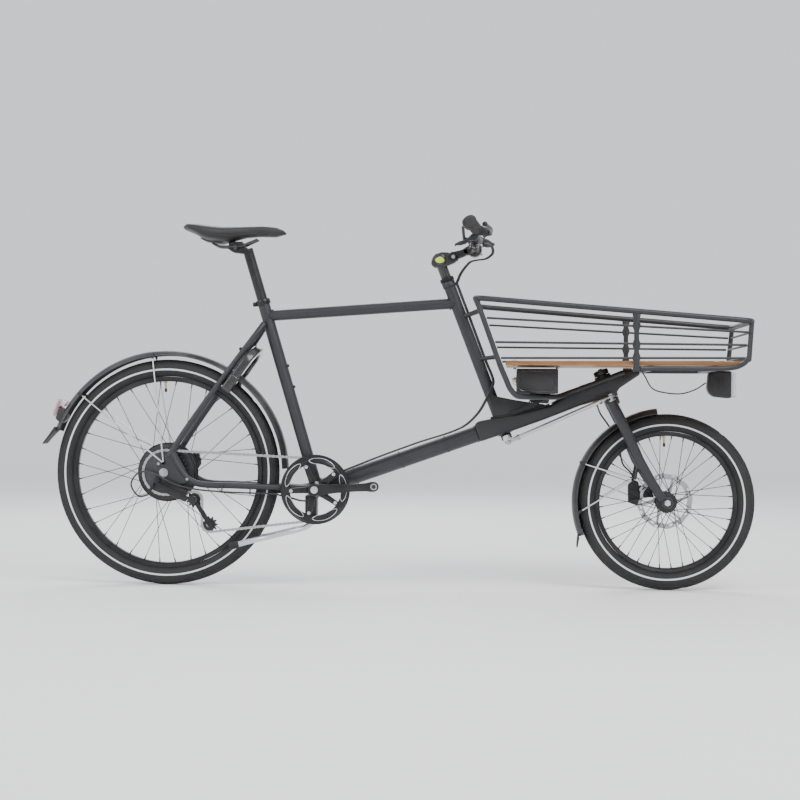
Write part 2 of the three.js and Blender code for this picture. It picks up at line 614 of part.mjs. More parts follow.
/** The fork crown's centre, just under the front head tube. */
const CROWN = onFork(-13);
function fork() {
  const core = rod(onFork(-20), onFork(84), 14.4, ROUND);
  const cap = rod(onFork(70), onFork(83), 22, 10);
  const race = rod(onFork(-24), onFork(-0.8), 22, ROUND);
  const crown = rod(V(CROWN.x, -62, CROWN.z - 6), V(CROWN.x, 62, CROWN.z - 6), 14, 10);
  const legs = [RIGHT, LEFT].flatMap((side) => [
    rod(V(CROWN.x - 6, side * 60, CROWN.z + 2), V(700, side * 58, 376), 15.5, 10),
    rod(V(700, side * 58, 378), V(770, side * 56, 262), 15.5, 14, 11),
  ]);
  const tips = [RIGHT, LEFT].map((side) => rod(
    V(FRONT_AXLE.x, side * 50, FRONT_AXLE.z), V(FRONT_AXLE.x, side * 62, FRONT_AXLE.z), 17, 10));
  const axle = rod(V(782, -70, 254), V(782, 70, 254), 6, 12);
  const arm = rod(V(CROWN.x, -40, CROWN.z), V(CROWN.x, -ARM_REACH, CROWN.z), 8, 12);
  const eye = rod(onFork(-18), onFork(-3), 11, 10).translate(0, -ARM_REACH, 0);
  const pin = rod(onFork(-5), onFork(12), 4, 12).translate(0, -ARM_REACH, 0);
  const bridge = rod(V(700, -44, 374), V(690, -51, 320), 4, 6);
  const bridgeLeft = rod(V(700, 44, 374), V(690, 51, 320), 4, 6);
  return join(core, cap, race, crown, ...legs, ...tips, axle, arm, eye, pin, bridge, bridgeLeft,
    frontCaliper());
}
piece('fork', fork(), paint);

/** The steering rod: from under the steerer's arm to above the fork's arm. */
function tieRod() {
  const low = onHead(-25).setY(-ARM_REACH);
  const high = onFork(4).setY(-ARM_REACH);
  const eye = (centre) => {
    const from = centre.clone().addScaledVector(STEER_UP, -4);
    const to = centre.clone().addScaledVector(STEER_UP, 4);
    return rod(from, to, 10, 10);
  };
  const hole = (centre, radius) => {
    const from = centre.clone().addScaledVector(STEER_UP, -8);
    const to = centre.clone().addScaledVector(STEER_UP, 8);
    return rod(from, to, radius, 10);
  };
  const bar = rod(low, high, 6, 12);
  const body = join(bar, eye(low), eye(high));
  return cut(body, hole(low, 4 + GAP), hole(high, 5.2));
}
piece('tie_rod', tieRod(), silver);

// ---- Stem, handlebar and controls ---------------------------------------------------------
const STEM_PIVOT = V(166, 0, 960);
const BAR_CLAMP = V(227, 0, 981);
function stemRiser() {
  const tube = rod(onHead(HEAD_LENGTH + 13), onHead(HEAD_LENGTH + 70), RISER, ROUND);
  const quill = rod(onHead(HEAD_LENGTH - 150), onHead(HEAD_LENGTH + 30), QUILL, ROUND);
  const base = plate([
    [104, 934], [102, 948], [111, 968], [131, 974], [158, 971], [170, 965], [178, 956],
    [172, 944], [150, 936],
  ], -13, 13);
  const plug = rod(V(128, -20, 950), V(128, 20, 950), 18, 10);
  return join(tube, quill, base, plug);
}
piece('stem_riser', stemRiser(), blackMetal);

function stemArm() {
  const cheeks = [[-20, -13.5], [13.5, 20]].map(([y0, y1]) => join(
    ring(1, 15, y0, y1, 20).translate(STEM_PIVOT.x, 0, STEM_PIVOT.z),
    plate([[162, 950], [222, 972], [222, 990], [158, 972]], y0, y1)));
  const clampNeck = plate([[196, 965], [228, 966], [228, 996], [190, 980]], -20, ROUND);
  const clamp = ring(1, 22, -24, 24).translate(BAR_CLAMP.x, 0, BAR_CLAMP.z);
  const bore = rod(V(227, -30, 981), V(227, 30, 981), 16.2, ROUND);
  return cut(join(...cheeks, clampNeck, clamp), bore);
}
piece('stem_arm', stemArm(), blackMetal);

/** Places on the handlebar: where the straight grip section starts and ends. */
const BAR_INNER = (side) => V(239, side * 170, 1021);
const BAR_OUTER = (side) => V(224, side * BAR_HALF, 1030);
function handlebar() {
  const middle = rod(V(227, -32, 981), V(227, 32, 981), 15.9, 12);
  const halves = [RIGHT, LEFT].flatMap((side) => [
    sweep([V(227, 0, 981), V(227, side * 40, 981), V(230, side * 60, 986), V(237, side * 120, 1014),
      BAR_INNER(side), V(236.1, side * 200, 1022.7)], 11.1, 10, 9),
    rod(V(237.1, side * 190, 1022.2), BAR_OUTER(side), 11.1, 10),
  ]);
  return join(middle, ...halves);
}
piece('handlebar', handlebar(), blackMetal);

/** A point along the straight end of the bar, measured from its inner end towards the tip. */
const alongBar = (side, s) => BAR_INNER(side).clone().lerp(BAR_OUTER(side), s);
function grip(side) {
  const sleeve = rod(alongBar(side, 0.28), alongBar(side, 1.03), 16.5, 10);
  const wing = plate([
    [200, 1024], [202, 1036], [216, 1050], [228, 1052], [238, 1044], [240, 1030], [234, 1014], [214, 1013],
  ], -34, 34).translate(0, side * 290, 0);
  const hole = rod(alongBar(side, 0.2), alongBar(side, 1.005), 11.9, 10);
  return cut(join(sleeve, wing), hole);
}
piece('grip_right', grip(RIGHT), rubber);
piece('grip_left', grip(LEFT), rubber);

/** Brake lever bracket with its clamp and housing stop, and the right side's shifter body. */
function controls(side) {
  const clamp = rod(alongBar(side, 0.04), alongBar(side, 0.17), 15.5, 10);
  const reach = side * 186;
  const [y0, y1] = [reach - 10, reach + 10].sort((a, b) => a - b);
  const body = plate([[240, 1010], [262, 1004], [282, 1006], [282, 1015], [262, 1028], [244, 1034]], y0, y1);
  const stop = rod(V(268, side * 178, 1012), V(268, side * 150, 1010), 6, 10);
  const hole = rod(alongBar(side, -0.08), alongBar(side, 0.3), 12.2, 10);
  const shifter = plate([[208, 992], [240, 992], [244, 1008], [222, 1012]], y0, y1);
  const parts = side === RIGHT ? [clamp, body, stop, shifter] : [clamp, body, stop];
  return cut(join(...parts), hole);
}
piece('right_controls', controls(RIGHT), plastic);
piece('left_controls', controls(LEFT), plastic);

/** A brake lever's blade, from its pivot to its flared tip. */
function brakeLever(side) {
  const blade = sweep([
    [275, 199.5, 1012], [278, 215, 1016], [276, 250, 1020], [268, 280, 1024], [264, 296, 1026],
  ].map(([x, y, z]) => V(x, side * y, z)), 5.5, 8, 10);
  const tip = rod(V(264, side * 292, 1026), V(262, side * 306, 1027), 8, 12);
  return join(blade, tip);
}
piece('brake_lever_right', brakeLever(RIGHT), silver);
piece('brake_lever_left', brakeLever(LEFT), silver);

piece('shift_lever', plate([
  [176, 984], [190, 984], [222, 996], [222, 1004], [192, 996], [178, 994],
], -172, -160).translate(0, -3, -3.5), plastic);

function display() {
  const panel = plate([[198, 990], [205, 992], [200, 1042], [192, 1041]], -104, -56);
  const mount = plate([[200, 1000], [228, 998], [230, 1006], [200, 1012]], -86, -74);
  const room = sweep([V(227, -30, 981), V(227, -40, 981), V(230, -60, 986), V(237, -120, 1014),
    BAR_INNER(RIGHT)], 12.4, 10, 9);
  return cut(join(panel, mount), room);
}
piece('display', display(), plastic);

// ---- Seat ---------------------------------------------------------------------------------
function seatPost() {
  const post = rod(onSeat(420), V(-438, 0, 985), SEAT_POST, ROUND);
  const head = plate([[-494, 984], [-478, 974], [-430, 968], [-424, 978], [-446, 992], [-490, 998]], -17, 17);
  const cradle = block(-490, -448, -26, 26, 990, 1004);
  const rails = [RIGHT, LEFT].map((side) => sweep(mirrored([
    [-538, 24, 1000], [-520, 22, 991], [-490, 20, 990], [-452, 20, 992], [-430, 18, 1001],
    [-406, 14, 1011],
  ], side), 3.5, 6, 9));
  return join(post, head, cradle, ...rails);
}
piece('seatpost', seatPost(), silver);

function saddle() {
  const side = plate([
    [-620, 1047], [-606, 1058], [-573, 1055], [-508, 1048], [-455, 1049], [-394, 1052],
    [-352, 1048], [-334, 1040], [-325, 1028], [-353, 1017], [-402, 1019], [-440, 1016],
    [-470, 1008], [-491, 1000], [-517, 998], [-535, 1003], [-560, 1009], [-588, 1026],
  ], -100, 100);
  const plan = [[-622, 0], [-618, 50], [-600, 78], [-560, 86], [-520, 78], [-480, 50], [-440, 29],
    [-400, 23], [-340, 19], [-324, 8]];
  const outline = new THREE.Shape([...plan, ...plan.slice(1).reverse().map(([x, y]) => [x, -y])]
    .map(([x, y]) => new THREE.Vector2(x, y)));
  const top = new THREE.ExtrudeGeometry(outline, { depth: 90, bevelEnabled: false });
  const hollow = block(-552, -396, -34, 34, 980, 1018);
  const well = block(-545, -455, -60, 60, 980, 1012);
  return cut(common(side, top.translate(0, 0, 980)), hollow, well);
}
piece('saddle', saddle(), leather);

// ---- Brakes, cables and lead --------------------------------------------------------------
function rearCaliper() {
  const outline = [[-612, 330], [-586, 338], [-578, 366], [-590, 392], [-612, 380], [-620, 350]];
  const rotorRoom = ring(0.5, ROTOR_RADIUS + 3, 38, 46, 24).translate(REAR_AXLE.x, 0, REAR_AXLE.z);
  return cut(plate(outline, 36, 51), rotorRoom);
}
piece('rear_caliper', rearCaliper(), blackMetal);

piece('light_lead', sweep([
  V(711, 12, 632), V(722, 12, 615), V(740, 12, 584), V(764, 8, 572), V(821, 4, 566),
  V(864, 0, 578), V(895, 0, 598),
], 2, 8, 12), rubber);

piece('front_brake_hose', sweep([
  V(585, 40, 532), V(598, 84, 505), V(622, 86, 471), V(650, 84, 424), V(662, 78, 362),
  V(684, 50, 336), V(690, 38, 324),
], 2.6, 8, 10), rubber);

/** The control cables' bundle, in the stretches that each moving part carries. */
piece('control_cables_upper', sweep([
  V(256, -28, 998), V(276, -28, 990), V(280, -28, 970), V(262, -26, 954), V(238, -22, 950),
  V(219, -17, 946.5),
], 4, 8, 10), rubber);
piece('control_cables_middle', sweep([
  V(211, -14, 942), V(196, -6, 925), V(185, 0, 908), V(179, 0, 893),
], 4, 8, 6), rubber);
piece('control_cables_lower', sweep([
  V(176, 0, 885), V(184.5, 0, 862), V(195.5, 0, 833), V(206.5, 0, 804), V(217, 0, 776),
], 4, 8, 10), rubber);

function frameCables() {
  const main = sweep([
    V(220, 0, 768), V(238, 0, 720), V(262, 0, 657), V(282, -4, 608), V(282, -26, 588),
    V(268, -33, 556), V(238, -33, 505), V(190, -33, 464), V(60, -32, 419), V(-100, -32, 358),
    V(-184, -36, 318), V(-224, -38.5, 262), V(-262, -36, 250), V(-310, -26, 260),
    V(-352, -32, 270), V(-420, -46, 272),
    V(-500, -64, 276), V(-580, -77, 284), V(-640, -84, 300), V(-700, -84, 330),
    V(-740, -82, 330), V(-762, -80, 296), V(-740, -77, 262), V(-712, -74, 266),
  ], 2.6, 8, 46);
  return main;
}
piece('frame_cables', frameCables(), rubber);

export default group;
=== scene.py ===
"""The finished look of the cargo bicycle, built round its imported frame."""
import logging
import math
from dataclasses import dataclass, field
from enum import Enum
from typing import Iterable, Sequence

import bmesh
import bpy
from mathutils import Matrix, Vector


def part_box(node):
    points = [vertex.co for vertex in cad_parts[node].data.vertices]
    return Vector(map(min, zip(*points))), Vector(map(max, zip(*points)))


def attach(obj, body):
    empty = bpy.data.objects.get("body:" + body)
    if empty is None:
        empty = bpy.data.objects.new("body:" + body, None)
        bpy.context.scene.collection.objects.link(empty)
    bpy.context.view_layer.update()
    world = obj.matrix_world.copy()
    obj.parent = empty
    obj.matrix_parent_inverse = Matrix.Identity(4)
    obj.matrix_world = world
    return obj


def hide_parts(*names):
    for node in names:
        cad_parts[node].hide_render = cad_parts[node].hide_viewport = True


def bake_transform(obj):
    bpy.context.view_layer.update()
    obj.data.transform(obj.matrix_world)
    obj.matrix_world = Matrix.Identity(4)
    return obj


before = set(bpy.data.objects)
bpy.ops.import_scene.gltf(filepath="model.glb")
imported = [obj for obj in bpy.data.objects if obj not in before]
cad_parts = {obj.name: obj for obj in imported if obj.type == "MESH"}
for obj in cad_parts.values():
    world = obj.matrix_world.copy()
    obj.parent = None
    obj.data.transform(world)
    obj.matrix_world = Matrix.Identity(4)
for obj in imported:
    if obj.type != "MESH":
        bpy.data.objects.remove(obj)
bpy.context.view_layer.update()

log = logging.getLogger("cargo_bicycle")
MM = 0.001
Point = Sequence[float]
SIDES = (-1, 1)
STEER_TILT = math.radians(21)
STEER_UP = Vector((-math.sin(STEER_TILT), 0, math.cos(STEER_TILT)))
SEAT_UP = Vector((-205, 0, 691)).normalized()
BRACKET = Vector((-229, 0, 284))
REAR_AXLE = Vector((-669, 0, 330))
FRONT_AXLE = Vector((782, 0, 254))
HEAD_FOOT = Vector((318.4, 0, 449))
FORK_FOOT = Vector((622, 0, 553))
CHAIN_PLANE = -45
CHAIN_PITCH = 12.7
GUIDE = Vector((-583, CHAIN_PLANE, 252))
TENSION = Vector((-538, CHAIN_PLANE, 180))
REFLECTIVE_HALF_WIDTH = 0.0024
RIB_FREQUENCY = 2600.0


class Body(str, Enum):
    """The moving bodies that pieces ride on."""

    FRAME = "frame"
    REAR_WHEEL = "rear_wheel"
    SPROCKETS = "sprockets"
    CRANKS = "cranks"
    GUIDE = "guide_jockey"
    TENSION = "tension_jockey"
    STAND = "stand"
    STEERER = "steerer"
    TIE_ROD = "tie_rod"
    FORK = "fork"
    FRONT_WHEEL = "front_wheel"
    RISER = "riser"
    STEM = "stem"
    LEVER_RIGHT = "lever_right"
    LEVER_LEFT = "lever_left"
    SHIFTER = "shifter"
    SADDLE_POST = "saddle_post"


def on_head(s: float) -> Vector:
    """A point on the rear steering axis, s mm above the head tube's foot."""
    return HEAD_FOOT + STEER_UP * s


def on_fork(s: float) -> Vector:
    """A point on the front steering axis, s mm above the front head tube's foot."""
    return FORK_FOOT + STEER_UP * s


def on_seat(s: float) -> Vector:
    """A point on the seat tube's axis, s mm above the bottom bracket."""
    return BRACKET + SEAT_UP * s


def sided(points: Iterable[Point], side: int) -> list[Vector]:
    """The points on the right (-1) or left (1) side."""
    return [Vector((x, side * y, z)) for x, y, z in points]


# ---- Shader node groups -------------------------------------------------------------------
def new_group(name: str, inputs: dict[str, tuple[str, object]], outputs: dict[str, str]):
    """Starts a shader node group with named sockets.

    Args:
        name: the group's name.
        inputs: socket name to (socket type, default value).
        outputs: socket name to socket type.

    Returns:
        The group's tree, its input node and its output node.
    """
    tree = bpy.data.node_groups.new(name, "ShaderNodeTree")
    for label, (kind, default) in inputs.items():
        socket = tree.interface.new_socket(label, in_out="INPUT", socket_type=kind)
        if default is not None:
            socket.default_value = default
    for label, kind in outputs.items():
        tree.interface.new_socket(label, in_out="OUTPUT", socket_type=kind)
    return tree, tree.nodes.new("NodeGroupInput"), tree.nodes.new("NodeGroupOutput")


FLOAT, COLOUR, VECTOR = "NodeSocketFloat", "NodeSocketColor", "NodeSocketVector"


def add_math(tree, operation: str, first, second) -> object:
    """Adds a Math node and returns its output socket.

    Args:
        tree: the node tree.
        operation: the Math node's operation.
        first: a socket or a number.
        second: a socket or a number.
    """
    node = tree.nodes.new("ShaderNodeMath")
    node.operation = operation
    for socket, value in zip(node.inputs, (first, second)):
        if isinstance(value, (int, float)):
            socket.default_value = value
        else:
            tree.links.new(value, socket)
    return node.outputs[0]


def add_noise(tree, vector, scale, detail: float = 4.0, rough: float = 0.55) -> object:
    """Adds a Noise texture and returns its value socket.

    Args:
        tree: the node tree.
        vector: the coordinate socket.
        scale: a socket or a number.
        detail: octaves.
        rough: how strong the fine octaves are.
    """
    node = tree.nodes.new("ShaderNodeTexNoise")
    node.inputs["Detail"].default_value = detail
    node.inputs["Roughness"].default_value = rough
    tree.links.new(vector, node.inputs["Vector"])
    if isinstance(scale, (int, float)):
        node.inputs["Scale"].default_value = scale
    else:
        tree.links.new(scale, node.inputs["Scale"])
    return node.outputs["Fac"]


def add_mix(tree, factor, first, second) -> object:
    """Adds a colour Mix node and returns its colour socket."""
    node = tree.nodes.new("ShaderNodeMix")
    node.data_type = "RGBA"
    for socket, value in ((node.inputs[0], factor), (node.inputs[6], first), (node.inputs[7], second)):
        if hasattr(value, "links"):
            tree.links.new(value, socket)
        else:
            socket.default_value = value
    return node.outputs[2]


def add_range(tree, value, low: float, high: float, to_low: float, to_high: float) -> object:
    """Adds a clamped Map Range node and returns its result."""
    node = tree.nodes.new("ShaderNodeMapRange")
    tree.links.new(value, node.inputs["Value"])
    for label, number in (("From Min", low), ("From Max", high), ("To Min", to_low), ("To Max", to_high)):
        node.inputs[label].default_value = number
    return node.outputs["Result"]


def surface_group():
    """The worked surface that every finish shares: cloudy colour, scuffs, dust and fine grain."""
    tree, source, sink = new_group("worked_surface", {
        "Vector": (VECTOR, None), "Colour": (COLOUR, (0.1, 0.1, 0.1, 1)),
        "Scuff Colour": (COLOUR, (0.3, 0.3, 0.3, 1)), "Dust Colour": (COLOUR, (0.34, 0.31, 0.27, 1)),
        "Grain Scale": (FLOAT, 900.0), "Scuffs": (FLOAT, 0.2), "Dust": (FLOAT, 0.1),
        "Roughness": (FLOAT, 0.5), "Roughness Spread": (FLOAT, 0.15),
    }, {"Colour": COLOUR, "Roughness": FLOAT, "Height": FLOAT})
    pick = source.outputs
    cloud = add_noise(tree, pick["Vector"], 14.0, 5.0, 0.6)
    grain = add_noise(tree, pick["Vector"], pick["Grain Scale"], 2.0, 0.5)
    scratch_map = tree.nodes.new("ShaderNodeMapping")
    scratch_map.inputs["Scale"].default_value = (60.0, 60.0, 420.0)
    scratch_map.inputs["Rotation"].default_value = (0.5, 0.35, 0.2)
    tree.links.new(pick["Vector"], scratch_map.inputs["Vector"])
    scratch = add_range(tree, add_noise(tree, scratch_map.outputs[0], 1.0, 3.0, 0.7), 0.64, 0.74, 0.0, 1.0)
    patch = add_range(tree, cloud, 0.5, 0.68, 0.0, 1.0)
    scuffed = add_math(tree, "MULTIPLY", add_math(tree, "MULTIPLY", scratch, patch), pick["Scuffs"])
    dusty = add_math(tree, "MULTIPLY", add_range(tree, cloud, 0.42, 0.75, 0.0, 1.0), pick["Dust"])
    first = add_mix(tree, scuffed, pick["Colour"], pick["Scuff Colour"])
    tree.links.new(add_mix(tree, dusty, first, pick["Dust Colour"]), sink.inputs["Colour"])
    spread = add_math(tree, "MULTIPLY", add_math(tree, "SUBTRACT", cloud, 0.5), pick["Roughness Spread"])
    rough = add_math(tree, "ADD", add_math(tree, "ADD", pick["Roughness"], spread),
                     add_math(tree, "MULTIPLY", dusty, 0.3))
    tree.links.new(rough, sink.inputs["Roughness"])
    depth = add_math(tree, "SUBTRACT", grain, add_math(tree, "MULTIPLY", scuffed, 0.6))
    tree.links.new(depth, sink.inputs["Height"])
    return tree


def wood_group():
    """Long plywood grain that runs along X, with darker growth lines."""
    tree, source, sink = new_group("wood_grain", {
        "Vector": (VECTOR, None), "Light": (COLOUR, (0.5, 0.27, 0.11, 1)),
        "Dark": (COLOUR, (0.22, 0.1, 0.035, 1)),
    }, {"Colour": COLOUR, "Height": FLOAT})
    stretch = tree.nodes.new("ShaderNodeMapping")
    stretch.inputs["Scale"].default_value = (1.6, 24.0, 24.0)
    tree.links.new(source.outputs["Vector"], stretch.inputs["Vector"])
    broad = add_noise(tree, stretch.outputs[0], 1.0, 6.0, 0.62)
    pores = add_noise(tree, stretch.outputs[0], 9.0, 3.0, 0.6)
    lines = add_math(tree, "FRACT", add_math(tree, "MULTIPLY", broad, 7.0), 0.0)
    shade = add_math(tree, "ADD", add_math(tree, "MULTIPLY", lines, 0.55),
                     add_math(tree, "MULTIPLY", pores, 0.5))
    tree.links.new(add_mix(tree, shade, source.outputs["Light"], source.outputs["Dark"]),
                   sink.inputs["Colour"])
    tree.links.new(pores, sink.inputs["Height"])
    return tree


def band_group():
    """A bright ring at one radius round a wheel's axle, in a Y-axis turned pattern."""
    tree, source, sink = new_group("wheel_band", {
        "Vector": (VECTOR, None), "Radius": (FLOAT, 0.3), "Width": (FLOAT, 0.004),
    }, {"Mask": FLOAT, "Ribs": FLOAT})
    split = tree.nodes.new("ShaderNodeSeparateXYZ")
    tree.links.new(source.outputs["Vector"], split.inputs[0])
    squares = [add_math(tree, "MULTIPLY", split.outputs[axis], split.outputs[axis]) for axis in (0, 2)]
    radius = add_math(tree, "SQRT", add_math(tree, "ADD", *squares), 0.0)
    off = add_math(tree, "ABSOLUTE", add_math(tree, "SUBTRACT", radius, source.outputs["Radius"]), 0.0)
    inside = add_math(tree, "LESS_THAN", off, source.outputs["Width"])
    tree.links.new(inside, sink.inputs["Mask"])
    ribs = add_math(tree, "SINE", add_math(tree, "MULTIPLY", radius, RIB_FREQUENCY), 0.0)
    tree.links.new(ribs, sink.inputs["Ribs"])
    return tree


def pebble_group():
    """Fine pebbled grain for the saddle cover and the grips."""
    tree, source, sink = new_group("pebble_grain", {
        "Vector": (VECTOR, None), "Scale": (FLOAT, 700.0),
    }, {"Height": FLOAT})
    cells = tree.nodes.new("ShaderNodeTexVoronoi")
    cells.feature = "DISTANCE_TO_EDGE"
    tree.links.new(source.outputs["Vector"], cells.inputs["Vector"])
    tree.links.new(source.outputs["Scale"], cells.inputs["Scale"])
    tree.links.new(add_range(tree, cells.outputs["Distance"], 0.0, 0.25, 0.0, 1.0), sink.inputs["Height"])
    return tree


GROUPS = {"surface": surface_group(), "wood": wood_group(), "band": band_group(), "pebble": pebble_group()}


# ---- Finishes -----------------------------------------------------------------------------
@dataclass(frozen=True)
class Finish:
    """A procedural finish: its colours, sheen and the fine detail on it."""

    name: str
    slot: str
    colour: tuple[float, float, float]
    scuff: tuple[float, float, float] = (0.3, 0.3, 0.3)
    roughness: float = 0.5
    spread: float = 0.15
    metallic: float = 0.0
    coat: float = 0.0
    grain: float = 900.0
    bump: float = 0.08
    scuffs: float = 0.35
    dust: float = 0.08

    def build(self) -> bpy.types.Material:
        """Returns this finish's material, made once."""
        made = bpy.data.materials.get(f"{self.name}_finish")
        return made or self.make()

    def make(self) -> bpy.types.Material:
        """Makes the material from the shared surface group.

        Returns:
            The new material.
        """
        material = bpy.data.materials.new(f"{self.name}_finish")
        material.use_nodes = True
        tree = material.node_tree
        shader = tree.nodes["Principled BSDF"]
        shader.inputs["Metallic"].default_value = self.metallic
        shader.inputs["Coat Weight"].default_value = self.coat
        shader.inputs["Coat Roughness"].default_value = 0.12
        place = tree.nodes.new("ShaderNodeTexCoord").outputs["Object"]
        surface = tree.nodes.new("ShaderNodeGroup")
        surface.node_tree = GROUPS["surface"]
        tree.links.new(place, surface.inputs["Vector"])
        for label, value in (("Colour", (*self.colour, 1)), ("Scuff Colour", (*self.scuff, 1)),
                             ("Grain Scale", self.grain), ("Scuffs", self.scuffs), ("Dust", self.dust),
                             ("Roughness", self.roughness), ("Roughness Spread", self.spread)):
            surface.inputs[label].default_value = value
        colour, height = self.detail(tree, place, surface.outputs["Colour"], surface.outputs["Height"])
        tree.links.new(colour, shader.inputs["Base Color"])
        tree.links.new(surface.outputs["Roughness"], shader.inputs["Roughness"])
        bump = tree.nodes.new("ShaderNodeBump")
        bump.inputs["Strength"].default_value = self.bump
        bump.inputs["Distance"].default_value = 0.001
        tree.links.new(height, bump.inputs["Height"])
        tree.links.new(bump.outputs[0], shader.inputs["Normal"])
        return material

    def detail(self, tree, place, colour, height) -> tuple:
        """Lets a special finish change the colour and height before they reach the shader."""
        return colour, height


@dataclass(frozen=True)
class WoodFinish(Finish):
    """Oiled plywood with grain along the deck."""

    def detail(self, tree, place, colour, height) -> tuple:
        """Lays the wood grain over the worn surface."""
        grain = tree.nodes.new("ShaderNodeGroup")
        grain.node_tree = GROUPS["wood"]
        tree.links.new(place, grain.inputs["Vector"])
        return add_mix(tree, 0.88, colour, grain.outputs["Colour"]), grain.outputs["Height"]


@dataclass(frozen=True)
class TyreFinish(Finish):
    """Moulded rubber with a pale reflective ring on the wall."""

    centre: tuple[float, float, float] = (0, 0, 0)
    ring: float = 0.3

    def detail(self, tree, place, colour, height) -> tuple:
        """Adds the reflective ring and the fine moulded ribs."""
        centred = tree.nodes.new("ShaderNodeMapping")
        centred.inputs["Location"].default_value = tuple(-c for c in self.centre)
        tree.links.new(place, centred.inputs["Vector"])
        band = tree.nodes.new("ShaderNodeGroup")
        band.node_tree = GROUPS["band"]
        tree.links.new(centred.outputs[0], band.inputs["Vector"])
        band.inputs["Radius"].default_value = self.ring
        band.inputs["Width"].default_value = REFLECTIVE_HALF_WIDTH
        pale = add_mix(tree, band.outputs["Mask"], colour, (0.62, 0.64, 0.66, 1))
        ribs = add_math(tree, "ADD", height, add_math(tree, "MULTIPLY", band.outputs["Ribs"], 0.25))
        return pale, ribs


@dataclass(frozen=True)
class PebbleFinish(Finish):
    """Pebbled cover or rubber."""

    cells: float = 700.0

    def detail(self, tree, place, colour, height) -> tuple:
        """Adds the pebbled grain."""
        pebble = tree.nodes.new("ShaderNodeGroup")
        pebble.node_tree = GROUPS["pebble"]
        tree.links.new(place, pebble.inputs["Vector"])
        pebble.inputs["Scale"].default_value = self.cells
        return colour, add_math(tree, "ADD", height, add_math(tree, "MULTIPLY",
                                                          pebble.outputs["Height"], 0.8))


@dataclass(frozen=True)
class ClearFinish(Finish):
    """Clear or tinted moulded lens."""

    through: float = 0.85

    def make(self) -> bpy.types.Material:
        """Makes the lens: the worked surface with light passing through it."""
        material = super().make()
        shader = material.node_tree.nodes["Principled BSDF"]
        shader.inputs["Transmission Weight"].default_value = self.through
        shader.inputs["IOR"].default_value = 1.45
        return material


PAINT = Finish("charcoal_paint", "frame_paint", (0.0125, 0.0138, 0.0165), (0.06, 0.06, 0.065), 0.46, 0.1,
               0.0, 0.06, 1500, 0.05, 0.2, 0.015)
BEAM_PAINT = Finish("beam_charcoal_paint", "beam_paint", (0.0095, 0.0102, 0.0115), (0.05, 0.05, 0.055), 0.44,
                    0.1, 0.0, 0.06, 1500, 0.05, 0.2, 0.015)
BLACK = Finish("black_anodised", "black_metal", (0.009, 0.009, 0.01), (0.25, 0.25, 0.25), 0.34, 0.12, 0.4,
               0.1, 1200, 0.04, 0.35, 0.05)
SILVER = Finish("satin_aluminium", "silver_metal", (0.6, 0.61, 0.63), (0.75, 0.75, 0.75), 0.3, 0.14, 1.0,
                0.0, 1800, 0.04, 0.4, 0.04)
STEEL = Finish("brushed_steel", "steel", (0.42, 0.42, 0.43), (0.65, 0.65, 0.65), 0.3, 0.2, 1.0, 0.0, 1400,
               0.06, 0.5, 0.1)
PLASTIC = Finish("moulded_plastic", "black_plastic", (0.01, 0.01, 0.011), (0.1, 0.1, 0.1), 0.5, 0.12, 0.0,
                 0.0, 2200, 0.12, 0.15, 0.03)
GLOSS = Finish("gloss_plastic", "light_plastic", (0.015, 0.015, 0.016), (0.1, 0.1, 0.1), 0.2, 0.08, 0.0, 0.3,
               900, 0.03, 0.15, 0.05)
CABLE = Finish("cable_jacket", "cable_jacket", (0.012, 0.012, 0.013), (0.08, 0.08, 0.08), 0.42, 0.1, 0.0,
               0.0, 1600, 0.05, 0.15, 0.08)
FENDER = Finish("fender_skin", "black_plastic", (0.012, 0.013, 0.015), (0.15, 0.15, 0.15), 0.4, 0.12, 0.0,
                0.2, 1500, 0.05, 0.3, 0.12)
MOTOR = Finish("cast_motor_shell", "black_metal", (0.01, 0.0105, 0.012), (0.25, 0.25, 0.25), 0.46, 0.15,
               0.35, 0.0, 1500, 0.12, 0.3, 0.12)
WOOD = WoodFinish("oiled_plywood", "deck_wood", (0.62, 0.25, 0.055), (0.7, 0.36, 0.12), 0.5, 0.15, 0.0, 0.1,
                  900, 0.2, 0.3, 0.05)
GRIP = PebbleFinish("grip_rubber", "grip_rubber", (0.01, 0.01, 0.011), (0.08, 0.08, 0.08), 0.62, 0.1, 0.0,
                    0.0, 900, 0.4, 0.2, 0.08, 900.0)
COVER = PebbleFinish("saddle_cover", "saddle_cover", (0.008, 0.0078, 0.0078), (0.03, 0.03, 0.03), 0.48, 0.12,
                     0.0, 0.0, 900, 0.22, 0.1, 0.02, 1100.0)
REAR_RUBBER = TyreFinish("rear_tyre_rubber", "tyre_rubber", (0.009, 0.009, 0.0095), (0.04, 0.04, 0.04), 0.7,
                         0.12, 0.0, 0.0, 700, 0.3, 0.1, 0.03, tuple(REAR_AXLE * MM), 0.3005)
FRONT_RUBBER = TyreFinish("front_tyre_rubber", "tyre_rubber", (0.009, 0.009, 0.0095), (0.04, 0.04, 0.04),
                          0.7, 0.12, 0.0, 0.0, 700, 0.3, 0.1, 0.03, tuple(FRONT_AXLE * MM), 0.2225)
LENS = ClearFinish("clear_lens", "light_plastic", (0.85, 0.87, 0.88), (0.6, 0.6, 0.6), 0.08, 0.05, 0.0, 0.0,
                   600, 0.05, 0.1, 0.05)
RED_LENS = ClearFinish("red_lens", "light_plastic", (0.7, 0.02, 0.015), (0.5, 0.1, 0.1), 0.15, 0.05, 0.0,
                       0.2, 600, 0.05, 0.1, 0.05, 0.35)
DARK_STEEL = Finish("dark_plated_steel", "steel", (0.07, 0.07, 0.075), (0.4, 0.4, 0.4), 0.32, 0.18, 0.9, 0.0,
                    1400, 0.06, 0.5, 0.1)
